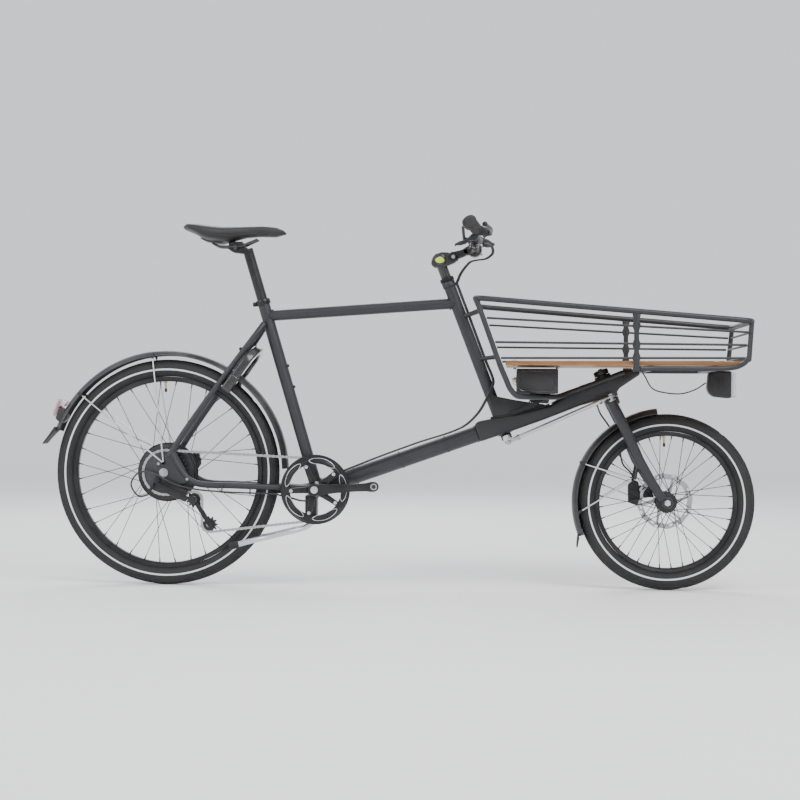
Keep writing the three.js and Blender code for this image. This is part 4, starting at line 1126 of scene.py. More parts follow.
# ---- Frame --------------------------------------------------------------------------------
@dataclass
class MainFrame:
    """The welded main frame: tubes, stays, front beam and their fittings."""

    head_length: float = 470.0
    main_radius: float = 17.4
    down_radius: float = 24.0
    stay_radius: float = 9.0

    def build(self) -> None:
        """Builds every frame tube and weld."""
        self.seat_tube()
        self.tubes()
        self.beam()
        for side, name in ((-1, "right"), (1, "left")):
            self.stays(side, name)
        self.bosses()

    def seat_tube(self) -> None:
        """The seat tube with its collar, bottom bracket shell and stand bracket."""
        tube = Shape().rod(BRACKET, on_seat(562), self.main_radius, sides=40)
        tube.turned([(11, -34), (20, -34), (21, -33), (21, 33), (20, 34), (11, 34)], BRACKET, steps=48)
        tube.block((-262, -24, 200), (-228, 24, 266), 4)
        tube.piece("seat_tube_and_shell", Body.FRAME, PAINT, ["seat_tube"])
        for side in SIDES:
            face = BRACKET + Vector((0, side * 34, 0))
            Shape().turned([(10.5, 0), (19, 0), (19, 2), (17, 3.2), (10.5, 3.2)],
                           (face.x, face.y - (3.2 if side < 0 else 0), face.z),
                           steps=24).piece(f"bracket_cup_{'right' if side < 0 else 'left'}", Body.FRAME,
                                           BLACK)
        collar = Shape().turned([(16, 0), (20.5, 0), (21.5, 1.5), (21.5, 13.5), (20.5, 15), (16, 15)],
                                on_seat(560), steps=48, axis=SEAT_UP)
        lug = on_seat(567.5) + Vector((-21, 0, -6.5))
        collar.block(lug - Vector((9, 8, 6.5)), lug + Vector((3, 8, 6.5)), 2.5)
        collar.rod(lug + Vector((-4, -11, 0)), lug + Vector((-4, 11, 0)), 3.4, sides=20, bevel=0.8)
        collar.piece("seat_collar", Body.FRAME, BLACK)

    def tubes(self) -> None:
        """The top tube, down tube and head tube with its reinforced ends."""
        top_start, top_end = on_seat(526), on_head(self.head_length - 66)
        Shape().rod(top_start, top_end, 15.8, sides=40).piece("top_tube_round", Body.FRAME, PAINT,
                ["top_tube"])
        Shape().rod(BRACKET, (236.3, 0, 447.5), self.down_radius, sides=44).piece(
            "down_tube_round", Body.FRAME, PAINT, ["down_tube"])
        n = self.head_length
        head = Shape().turned([(13.7, 0), (19, 0), (19.6, 1), (19.6, 15), (17.3, 18), (17.3, n - 18),
                               (19.6, n - 15),
                               (19.6, n - 1), (19, n), (13.7, n)], HEAD_FOOT, steps=48, axis=STEER_UP)
        head.piece("head_tube_round", Body.FRAME, PAINT, ["head_tube"])
        welds = Shape()
        self.ring_weld(welds, top_start, (top_end - top_start).normalized(), self.main_radius, 16.6)
        self.ring_weld(welds, top_end, (top_start - top_end).normalized(), 17.3, 16.6)
        down_way = (Vector((236.3, 0, 447.5)) - BRACKET).normalized()
        welds.turned([(23, -3), (25.4, -2), (26, 0), (25.4, 2), (23, 3)],
                     Vector((236.3, 0, 447.5)) - down_way,
                     steps=56, axis=down_way)
        self.ring_weld(welds, BRACKET, down_way, 20, 24.6)
        welds.piece("frame_weld_beads", Body.FRAME, PAINT, angle=60)

    @staticmethod
    def ring_weld(shape: Shape, centre: Vector, way: Vector, host: float, radius: float) -> None:
        """A fillet bead where a tube runs into another, following the saddle-shaped joint.

        Args:
            shape: what the bead is added to.
            centre: where the two axes cross.
            way: the joining tube's direction away from its host.
            host: the host tube's radius.
            radius: the joining tube's radius.
        """
        up = Vector((0, 1, 0))
        across = way.cross(up).normalized()
        points = []
        for k in range(24):
            turn = 2 * math.pi * k / 24
            y = radius * math.cos(turn)
            reach = math.sqrt(max(host**2 - y**2, 4.0))
            points.append(centre + up * y + across * (radius * math.sin(turn)) + way * (reach + 0.5))
        shape.tube(points, 2.4, resolution=2, fine=3, closed=True)

    def beam(self) -> None:
        """The boxed front beam, its gusset, the fork's head tube and the seam welds."""
        edge = [(245, 424), (337, 455), (433, 490), (534, 530), (592, 547), (632, 556), (646, 581),
                (707, 622),
                (693, 638), (650, 631), (592, 608), (534, 588), (477, 548), (448, 532), (361, 508),
                (274, 491),
                (237, 483), (229.5, 471.5)]
        beam = Shape().plate(edge, -28, 28, 7, 4)
        beam.turned([(15.2, 0), (22.5, 0), (24, 1.5), (24, 9), (22, 11), (22, 60), (24, 62), (24, 68),
                     (22.5, 69.5),
                     (15.2, 69.5)], FORK_FOOT, steps=48, axis=STEER_UP)
        beam.piece("front_beam_box", Body.FRAME, BEAM_PAINT, ["front_beam"])
        gusset = Shape().plate([(266, 574), (274, 572), (289, 557), (346, 546), (404, 537), (433, 534),
                                (424, 512),
                                (361, 500), (285, 485)], -19.5, 19.5, 3, 3)
        gusset.piece("beam_gusset", Body.FRAME, BEAM_PAINT)
        seams = Shape()
        for side in SIDES:
            seams.tube([(276, side * 20.5, 494), (330, side * 22, 502), (380, side * 22, 513),
                        (420, side * 22, 525),
                        (446, side * 22, 534)], 2.6, 2)
            seams.tube([(247, side * 26, 430), (337, side * 27, 459), (433, side * 27, 494),
                        (534, side * 27, 534),
                        (592, side * 27, 551)], 1.8, 2)
            seams.tube([(452, side * 26.5, 537), (480, side * 26.5, 552), (534, side * 26.5, 585),
                        (592, side * 26.5, 604), (650, side * 26.5, 627)], 1.8, 2)
        seams.piece("beam_seam_welds", Body.FRAME, BEAM_PAINT, angle=60)

    def stays(self, side: int, name: str) -> None:
        """One side's chainstay, seatstay and dropout plate.

        Args:
            side: -1 for the right, 1 for the left.
            name: the side's name.
        """
        chainstay = sided([(-245, 27, 285), (-290, 29, 287), (-335, 31, 289), (-400, 43, 291),
                           (-480, 55, 294),
                           (-560, 63, 297), (-597, 64, 312), (-627, 64, 350), (-648, 63, 388)], side)
        seatstay = sided([(-654, 63, 378), (-610, 61, 449), (-515, 54, 584), (-440, 46, 686), (-405, 34, 735),
                          (-385, 20, 765)], side)
        stays = Shape().tube(chainstay, self.stay_radius, 5, 8).tube(seatstay, self.stay_radius, 5, 8)
        near, far = sorted((side * 64, side * 70))
        stays.plate([(-694, 312), (-689, 300), (-676, 295), (-640, 294), (-610, 298), (-592, 308),
                     (-612, 352),
                     (-636, 392), (-655, 392), (-676, 370), (-690, 352)], near, far, 1.6, 2)
        stays.piece(f"rear_stays_round_{name}", Body.FRAME, PAINT, [f"rear_stays_{name}"])
        bolts = Shape()
        for spot in ((-684, 356), (-600, 312)):
            bolts.rod((spot[0], side * 70, spot[1]), (spot[0], side * 73, spot[1]), 4.4, sides=6, bevel=0.6)
        bolts.piece(f"dropout_bolts_{name}", Body.FRAME, STEEL)

    def bosses(self) -> None:
        """Threaded bosses on the seat tube's front and the stay bridge."""
        out = Vector((SEAT_UP.z, 0, -SEAT_UP.x))
        bosses = Shape()
        for s in (305, 369):
            foot = on_seat(s) + out * 16.5
            bosses.rod(foot, foot + out * 4.5, 4.6, sides=20, bevel=0.8)
            bosses.rod(foot + out * 4.5, foot + out * 5.6, 2.8, sides=6)
        bosses.rod((-449, -46, 690), (-449, 46, 690), 5.5, sides=20)
        bosses.piece("seat_tube_bosses", Body.FRAME, BLACK)


# ---- Basket and deck ----------------------------------------------------------------------
@dataclass
class Basket:
    """The open tube and wire basket over the deck, with its supports."""

    half: float = 240.0
    rail: float = 8.0
    wire: float = 3.2
    levels: tuple[tuple[float, float, float, float], ...] = (
        (267, 986, 773, 735), (291, 980, 706, 700), (307, 976, 662, 664))

    def build(self) -> None:
        """Builds rail, sides, ends, supports and deck frame."""
        self.top_rail()
        for side, name in ((-1, "right"), (1, "left")):
            self.side_panel(side, name)
            self.support(side, name)
        self.front()
        self.rear()
        self.under_frame()

    @staticmethod
    def rail_height(x: float) -> float:
        """Height of the sloping top rail at a place along the bicycle."""
        return 829 - (x - 235) * 0.0827

    def top_rail(self) -> None:
        """The closed top rail with round corners."""
        half = [(235, 0), (235, 100), (235, 200), (238, 222), (246, 234), (258, 240), (320, 240), (500, 240),
                (700, 240), (900, 240), (976, 240), (989, 234), (996, 222), (999, 200), (999, 100), (999, 0)]
        loop = [Vector((x, -y, self.rail_height(x))) for x, y in half]
        loop += [Vector((x, y, self.rail_height(x))) for x, y in reversed(half[1:-1])]
        Shape().tube(loop, self.rail, 5, 5, closed=True).piece(
            "basket_rail_loop", Body.FRAME, PAINT, ["basket_top_rail"])

    def side_panel(self, side: int, name: str) -> None:
        """The wires of one side and the scalloped middle post."""
        panel = Shape()
        for rear, front, rear_z, front_z in self.levels:
            panel.rod((rear, side * self.half, rear_z), (front, side * self.half, front_z), self.wire,
                      sides=16)
        post = [(669, 626), (690, 626)]
        for z in (664, 700, 753):
            post += [(687, z - 14), (690.5, z - 5), (691, z), (690.5, z + 5), (687, z + 14)]
        post += [(691, 780), (691, 789), (669, 789), (669, 780)]
        for z in (753, 700, 664):
            post += [(673, z + 14), (669.5, z + 5), (669, z), (669.5, z - 5), (673, z - 14)]
        panel.plate(post, side * self.half - 4.5, side * self.half + 4.5, 1.6, 2)
        panel.piece(f"basket_side_wires_{name}", Body.FRAME, PAINT, [f"basket_side_{name}"])

    def front(self) -> None:
        """The front posts and cross wires."""
        end = Shape()
        for side in SIDES:
            end.rod((987, side * self.half, 660), (996, side * (self.half - 14), 765), 7, sides=24)
            end.ball((987, side * self.half, 660), 7.2)
        for i, (_, front, _, z) in enumerate(self.levels):
            end.rod((front + 8 - i, -238, z), (front + 8 - i, 238, z), self.wire, sides=16)
        end.rod((987, -238, 663), (987, 238, 663), 6.8, sides=24)
        end.piece("basket_front_end", Body.FRAME, PAINT, ["basket_front"])

    def rear(self) -> None:
        """The leaning rear posts, cross wires and the struts to the head tube."""
        end = Shape()
        for side in SIDES:
            end.rod((303, side * self.half, 646), (238, side * (self.half - 8), 826), 7.5, sides=24)
            end.tube([(192, side * 5, 787), (214, side * 16, 794), (246, side * 40, 807)], 6, 5)
            end.tube([(240, side * 5, 664), (262, side * 17, 667), (293, side * 40, 671)], 6, 5)
        for x, z, radius in ((244, 808, 6), (262, 757, 3.2), (282, 703, 3.2), (297, 661, 6)):
            end.rod((x, -236, z), (x, 236, z), radius, sides=20)
        end.piece("basket_rear_end", Body.FRAME, PAINT, ["basket_rear"])
        beads = Shape()
        for centre in (on_head(363), on_head(231)):
            for side in SIDES:
                beads.ball(centre + Vector((17, side * 5, 1)), 7.2, (0.6, 1, 1))
        beads.piece("basket_strut_welds", Body.FRAME, PAINT)

    def support(self, side: int, name: str) -> None:
        """The bent tube that carries the deck's rear corner down to the beam."""
        points = sided([(303, 240, 646), (312, 240, 624), (320, 240, 606), (333, 238, 577), (350, 230, 559),
                        (372, 212, 555), (420, 140, 555), (470, 72, 556), (505, 42, 568), (560, 38, 588),
                        (658, 38, 626)], side)
        Shape().tube(points, 8, 5, 7).piece(f"support_tube_round_{name}", Body.FRAME, PAINT,
                                            [f"support_tube_{name}"])

    def under_frame(self) -> None:
        """The deck's side tubes, cross hoops and flat tabs."""
        under = Shape()
        for side in SIDES:
            under.tube(sided([(690, 238, 634), (720, 234, 634.5), (780, 234, 634.5), (900, 234, 634.8),
                              (948, 234, 638), (971, 235, 647), (986, 239, 661)], side), 7, 5, 7)
        for x in (722, 900):
            under.rod((x, -234, 634.5), (x, 234, 634.5), 7, sides=24)
        under.block((690, -26, 628), (724, 26, 641), 4)
        under.piece("deck_under_frame", Body.FRAME, PAINT, ["deck_frame"])


@dataclass
class Deck:
    """The plywood deck with rounded corners, laminated edge and through bolts."""

    layers: int = 5
    bolts: tuple[tuple[float, float], ...] = ((345, 205), (470, 60), (690, 190), (720, 90), (905, 190),
                                              (955, 120))

    def build(self) -> None:
        """Builds the board, its darker glue lines and its bolts."""
        low, high = (Vector(corner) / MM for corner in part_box("cargo_deck"))
        board = Shape().block(low, high, 2.2, 3)
        board.piece("deck_board", Body.FRAME, WOOD, ["cargo_deck"])
        lines = Shape()
        for i in range(1, self.layers):
            z = low.z + (high.z - low.z) * i / self.layers
            lines.block((low.x - 0.25, low.y - 0.25, z - 0.25), (high.x + 0.25, high.y + 0.25, z + 0.25), 0.0)
        lines.piece("deck_glue_lines", Body.FRAME, Finish("glue_line", "deck_wood", (0.1, 0.045, 0.018),
                                                          roughness=0.6))
        heads = Shape()
        for x, y in self.bolts:
            for side in SIDES:
                heads.rod((x, side * y, high.z), (x, side * y, high.z + 1), 9, sides=28, bevel=0.3)
                heads.ball((x, side * y, high.z + 0.8), 6.5, (1, 1, 0.45))
                heads.rod((x, side * y, low.z), (x, side * y, low.z - 5), 5.5, sides=6, bevel=0.6)
        heads.piece("deck_bolts", Body.FRAME, STEEL)


@dataclass
class PowerPack:
    """The battery under the deck: case, end frame, lock, handle and mount."""

    def build(self) -> None:
        """Builds the battery."""
        case = Shape().block((352, -178, 565), (465, 178, 633), 9, 5)
        for side in SIDES:
            near, far = sorted((side * 170, side * 180))
            case.block((350, near, 563.8), (467, far, 634), 4, 3)
            near, far = sorted((side * 178.5, side * 181))
            case.block((362, near, 575), (455, far, 623), 1.2, 2)
        for i in range(6):
            y = -120 + i * 48
            case.block((349.5, y - 8, 584), (353, y + 8, 618), 1.2, 2)
        case.piece("battery_case", Body.FRAME, PLASTIC, ["battery"])
        frame_lip = Shape()
        for side in SIDES:
            y = side * 180.4
            loop = [(366, 572), (408, 571), (451, 572), (459, 580), (460, 599), (459, 618), (451, 626),
                    (408, 627),
                    (366, 626), (358, 618), (357, 599), (358, 580)]
            frame_lip.tube([(x, y, z) for x, z in loop], 1.6, 2, 4, closed=True)
        frame_lip.piece("battery_end_trim", Body.FRAME, GLOSS)
        knob = Shape().rod((352, -150, 599), (342, -150, 599), 11, sides=36, bevel=1.5)
        knob.rod((342, -150, 599), (338, -150, 599), 8, sides=30, bevel=1)
        knob.piece("battery_lock", Body.FRAME, SILVER)
        mount = Shape().plate([(388, 566), (449, 566), (443, 536), (404, 538), (390, 541)], -25, 25, 4, 3)
        for i in range(5):
            mount.tube([(396 + i * 9, -20 + i * 3, 560), (392 + i * 9, -30, 548), (380 + i * 5, -31, 530),
                        (330 + i * 3, -31, 510 - i)], 2.2, 2)
        mount.piece("battery_mount", Body.FRAME, PLASTIC)


@dataclass
class Lamps:
    """The headlight under the deck's nose and the light on the rear fender."""

    def build(self) -> None:
        """Builds both lamps."""
        body = Shape().plate([(897, 582), (902, 568), (914, 558), (950, 554), (966, 554), (966, 632),
                              (912, 632),
                              (901, 624)], -26, 26, 6, 4)
        body.block((915, -12, 628), (945, 12, 642.7), 2)
        for i in range(5):
            body.block((905 + i * 9, -27, 570), (908 + i * 9, 27, 616), 1, 2)
        body.piece("headlight_body", Body.FRAME, PLASTIC, ["headlight"])
        bowl = Shape().block((962, -23, 558), (967.5, 23, 628), 3, 3)
        bowl.piece("headlight_reflector", Body.FRAME, SILVER)
        Shape().block((966, -25.5, 555.5), (979, 25.5, 630.5), 5, 4).piece("headlight_lens", Body.FRAME, LENS)
        bolt = Shape().rod((930, -14.5, 636), (930, 14.5, 636), 4, sides=6, bevel=0.6)
        bolt.piece("headlight_bolt", Body.FRAME, STEEL)
        base = Shape().plate([(-1001, 484), (-990, 519), (-975, 512), (-966, 488), (-970, 482), (-984, 470)],
                             -23, 23, 3, 3)
        base.piece("rear_light_base", Body.FRAME, PLASTIC)
        lens = Shape().plate([(-1011, 496), (-1002, 520), (-993, 543), (-976, 538), (-966, 534), (-974, 520),
                              (-988, 521), (-999, 487)], -23.5, 23.5, 3.5, 4)
        lens.piece("rear_light_lens", Body.FRAME, LENS)
        glow = Shape().plate([(-1006, 500), (-993, 536), (-986, 535), (-1000, 496)], -19, 19, 2, 3)
        glow.piece("rear_light_reflector", Body.FRAME, RED_LENS)


@dataclass
class Fenders:
    """Both fenders with flaps, edge beads, stays and their bolts."""

    def build(self) -> None:
        """Builds the fenders."""
        self.channel("rear", REAR_AXLE, 357, 2, 158, Body.FRAME)
        self.channel("front", FRONT_AXLE, 271, 96, 106, Body.FORK)
        self.flap([(-1003, 461), (-998, 451), (-1020, 428), (-1036, 409.5), (-1038.5, 412), (-1022, 434)],
                  27, "rear_flap", Body.FRAME)
        self.flap([(529, 160), (534, 150), (531, 135), (529, 121), (525.5, 121.5), (527, 140)], 25,
                  "front_flap",
                  Body.FORK)
        rear = [((-669, 75, 358), (-713, 27, 675)), ((-669, 75, 358), (-929, 27, 559))]
        front = [((683, 50, 321), (537, 28, 366)), ((683, 50, 319), (530, 28, 222))]
        self.stays(rear, "rear_fender_stays", Body.FRAME)
        self.stays(front, "front_fender_stays", Body.FORK)

    @staticmethod
    def channel(label: str, axle: Vector, crown: float, start: float, sweep: float, body: Body) -> None:
        """The curved channel of a fender.

        Args:
            label: front or rear.
            axle: the wheel's centre.
            crown: the outer radius.
            start: the first angle in degrees.
            sweep: how far it goes round.
            body: what it rides on.
        """
        outer = []
        for k in range(11):
            across = -1 + 2 * k / 10
            outer.append((crown - 15 * abs(across) ** 2.6, 30 * across))
        inner = [(r - 1.8, y * 0.955) for r, y in reversed(outer)]
        shape = Shape().turned(outer + inner, axle, 72, start, sweep)
        for side in SIDES:
            rim = []
            for k in range(37):
                turn = math.radians(start + sweep * k / 36)
                rim.append(axle + Vector(((crown - 15.5) * math.cos(turn), side * 29.4,
                                          (crown - 15.5) * math.sin(turn))))
            shape.tube(rim, 1.5, 2, 2)
        shape.piece(f"{label}_fender_shell", body, FENDER, [f"{label}_fender"], 30)

    @staticmethod
    def flap(outline: Sequence[Point], half: float, name: str, body: Body) -> None:
        """A soft mud flap with rounded edges."""
        Shape().plate(outline, -half, half, 1.2, 2).piece(name, body, GRIP)

    @staticmethod
    def stays(lines: Sequence[tuple[Point, Point]], name: str, body: Body) -> None:
        """Thin stays from the dropouts or fork legs to the fender's edges, with their clips."""
        wires, clips = Shape(), Shape()
        for start, end in lines:
            for side in SIDES:
                a, b = sided([start, end], side)
                wires.rod(a, b, 2.3, sides=12)
                way = (a - b).normalized()
                clips.rod(b - way * 2, b + way * 14, 4.2, 3.4, sides=16, bevel=0.8)
                clips.rod(a + Vector((0, side * 1, 0)), a + Vector((0, side * 4.5, 0)), 4.2, sides=6,
                          bevel=0.6)
        wires.piece(name, body, SILVER)
        clips.piece(f"{name}_clips", body, PLASTIC)


# ---- Lock and brakes ----------------------------------------------------------------------
@dataclass
class RingLock:
    """The frame lock round the rear wheel: two shells, a shackle housing and a key cylinder."""

    centre: Vector = field(default_factory=lambda: Vector((-450, 0, 627)))

    def build(self) -> None:
        """Builds the lock in the plane of the seat stays."""
        way = (Vector((-383, 0, 768)) - Vector((-515, 0, 584))).normalized()
        shell, plate = Shape(), Shape()
        shell.plate(self.horseshoe(72, 46, -70), -12, 12, 5, 4)
        for side in SIDES:
            low, high = sorted((side * 43, side * 75))
            shell.block((low, -14, -72), (high, 14, -18), 6, 4)
        plate.plate(self.horseshoe(67, 51, -8), -13.4, -11.8, 0.6, 2)
        plate.rod((59, -14, -44), (59, -17, -44), 8.5, sides=28, bevel=1)
        plate.rod((59, -17, -44), (59, -18, -44), 5, sides=20, bevel=0.4)
        for part, name, finish, hides in ((shell, "ring_lock_shell", GLOSS, ["ring_lock"]),
                                          (plate, "ring_lock_plate", SILVER, [])):
            part.place(Matrix(((0, -way.z, way.x, self.centre.x), (1, 0, 0, 0),
                               (0, way.x, way.z, self.centre.z),
                               (0, 0, 0, 1))))
            part.piece(name, Body.FRAME, finish, hides)

    @staticmethod
    def horseshoe(outer: float, inner: float, foot: float) -> list[Point]:
        """The lock's outline, open at the bottom, with its bow centred a little high."""
        turns = [math.pi * k / 20 for k in range(21)]
        outline = [(outer * math.cos(t), 20 + outer * 0.92 * math.sin(t)) for t in turns]
        outline += [(-outer, foot), (-inner, foot)]
        outline += [(-inner * math.cos(t), 20 + inner * math.sin(t)) for t in turns]
        return outline + [(inner, foot), (outer, foot)]


@dataclass
class Calipers:
    """The rear and front disc calipers, one beside each rotor."""

    def build(self) -> None:
        """Builds both calipers, inboard and outboard of their rotors."""
        rear = Shape()
        outline = [(-611, 331), (-588, 338), (-579, 352), (-580, 368), (-591, 391), (-611, 380), (-620, 352)]
        rear.plate(outline, 36, 39.5, 1.5, 2).plate(outline, 44.5, 51, 2.5, 3)
        rear.block((-596, 37, 344), (-583, 50, 382), 2.5)
        rear.rod((-602, 51, 358), (-602, 54.5, 358), 9, sides=30, bevel=1.2)
        rear.piece("rear_caliper_body", Body.FRAME, BLACK, ["rear_caliper"])
        front = Shape()
        outline = [(676, 250), (702, 240), (711, 266), (706, 310), (688, 318), (675, 300)]
        front.plate(outline, 30.5, 37, 2.2, 3).plate(outline, 41.2, 46, 2.2, 3)
        front.block((678, 32, 262), (688, 45, 306), 2.5)
        front.plate([(698, 264), (750, 264), (742, 298), (700, 298)], 43.5, 49.5, 2, 2)
        front.rod((692, 30.5, 282), (692, 27.5, 282), 8, sides=30, bevel=1)
        front.piece("front_caliper_body", Body.FORK, BLACK)
        bolts = Shape()
        for x, z in ((706, 274), (704, 292)):
            bolts.rod((x, 49.5, z), (x, 53, z), 3.4, sides=6, bevel=0.5)
        bolts.piece("front_caliper_bolts", Body.FORK, STEEL)


# ---- Steering -----------------------------------------------------------------------------
@dataclass
class Steering:
    """The rider's steerer, the long rod beside the beam and the fork with its arm."""

    arm: float = -55.0

    def build(self) -> None:
        """Builds the linkage and the fork."""
        self.steerer()
        self.rod()
        self.fork()

    def steerer(self) -> None:
        """The steerer tube with its collar and its lower arm."""
        tube = Shape().turned([(11.6, -18), (13, -18), (13, 482), (11.6, 482)], HEAD_FOOT, 40, axis=STEER_UP)
        tube.rod(on_head(-18), on_head(-3), 16, sides=36, bevel=1.2)
        tube.piece("steerer_tube", Body.STEERER, BLACK, ["steerer"])
        collar = Shape()
        collar.turned([(13, 471), (20, 471), (21, 472), (21, 474), (19.8, 474.6), (21, 475.2), (21, 478),
                       (19.8, 478.6), (21, 479.2), (20.6, 482.4), (15.4, 483.4), (13, 482)], HEAD_FOOT, 48,
                      axis=STEER_UP)
        collar.turned([(13.2, 0), (19, 0), (21, -1.2), (21, -2.4), (13.2, -2.4)], HEAD_FOOT, 44,
                      axis=STEER_UP)
        for side in SIDES:
            spot = on_head(478) + Vector((0, side * 20, 0))
            collar.rod(spot, spot + Vector((0, side * 2.4, 0)), 2.6, sides=6, bevel=0.4)
        collar.piece("steerer_collar", Body.STEERER, BLACK)
        arm = Shape()
        foot = on_head(-12)
        arm.tube([foot, foot + Vector((0, -30, 0)), foot + Vector((0, self.arm, 0))], 7.5, 5)
        eye = Vector((0, self.arm, 0))
        arm.rod(on_head(-17.5) + eye, on_head(-5) + eye, 10.5, sides=32, bevel=1.2)
        arm.rod(on_head(-33) + eye, on_head(-5) + eye, 4, sides=20)
        arm.rod(on_head(-34) + eye, on_head(-30) + eye, 6.2, sides=6, bevel=0.8)
        arm.piece("steerer_arm", Body.STEERER, SILVER)

    def rod(self) -> None:
        """The steering rod with a ball joint eye at each end."""
        start, end = on_head(-25) + Vector((0, self.arm, 0)), on_fork(4) + Vector((0, self.arm, 0))
        way = (end - start).normalized()
        bar = Shape().rod(start + way * 22, end - way * 22, 6, sides=28)
        bar.piece("tie_rod_bar", Body.TIE_ROD, SILVER, ["tie_rod"])
        ends = Shape()
        for spot, out, hole in ((start, way, 4.3), (end, way * -1, 5.2)):
            ends.turned([(hole, -4), (9, -4), (10, -2.6), (10, 2.6), (9, 4), (hole, 4)], spot, 32,
                        axis=STEER_UP)
            ends.rod(spot + out * 8.5, spot + out * 30, 5.2, 6.8, sides=24, bevel=0.8)
            ends.rod(spot + out * 30, spot + out * 37, 8, sides=6, bevel=0.9)
        ends.piece("tie_rod_ends", Body.TIE_ROD, STEEL)

    def fork(self) -> None:
        """The fork: steerer, crown, curved tapering legs, dropouts and steering arm."""
        fork = Shape()
        crown = on_fork(-13)
        fork.rod(on_fork(-20), on_fork(84), 14.4, sides=36)
        fork.rod((crown.x, -62, crown.z - 6), (crown.x, 62, crown.z - 6), 14, sides=36, bevel=2)
        for side in SIDES:
            legs = Shape()
            path = sided([(crown.x - 6, 60, crown.z + 2), (664, 59.5, 458), (700, 58, 376), (734, 57, 318),
                          (770, 56, 264)], side)
            legs.tube(path[:3], 15.5, 7, 6)
            fork.take(legs.bm)
            fork.rod(path[2], path[3], 15.4, 13.6, sides=36)
            fork.ball(path[2], 15.45)
            fork.ball(path[3], 13.5)
            fork.rod(path[3], path[4], 13.6, 11, sides=36)
            low, high = sorted((side * 50, side * 61))
            fork.rod((782, low, 254), (782, high, 254), 16.5, sides=40, bevel=1.8)
            fork.tube(sided([(700, 44, 374), (696, 48, 350), (690, 51, 320)], side), 4, 4, 4)
        fork.piece("fork_legs", Body.FORK, PAINT, ["fork"])
        fittings = Shape()
        fittings.turned([(0, 87), (12, 86.4), (21, 84), (22, 82), (22, 72), (21, 70.2), (14, 70.2)],
                        FORK_FOOT, 48,
                        axis=STEER_UP)
        fittings.turned([(14.2, -0.9), (21, -0.9), (22, -2), (22, -20), (20, -23.5), (14.2, -23.5)],
                        FORK_FOOT, 48,
                        axis=STEER_UP)
        fittings.rod(on_fork(86), on_fork(89.5), 6, sides=6, bevel=0.8)
        fittings.piece("fork_headset", Body.FORK, BLACK)
        silver = Shape()
        silver.rod((782, -74, 254), (782, 74, 254), 5.4, sides=24, bevel=0.8)
        for side in SIDES:
            near, far = side * 61.2, side * 68
            silver.rod((782, near, 254), (782, far, 254), 9.4, sides=6, bevel=1)
        foot = on_fork(-11)
        silver.tube([foot + Vector((0, -14, 0)), foot + Vector((0, -34, 0)),
                     foot + Vector((0, self.arm, 0))], 7.5, 5)
        eye = Vector((0, self.arm, 0))
        silver.rod(on_fork(-17.5) + eye, on_fork(-4.6) + eye, 10.5, sides=32, bevel=1.2)
        silver.rod(on_fork(-5) + eye, on_fork(10) + eye, 4, sides=20)
        silver.rod(on_fork(9) + eye, on_fork(13) + eye, 6.2, sides=6, bevel=0.8)
        silver.piece("fork_arm_and_axle", Body.FORK, SILVER)


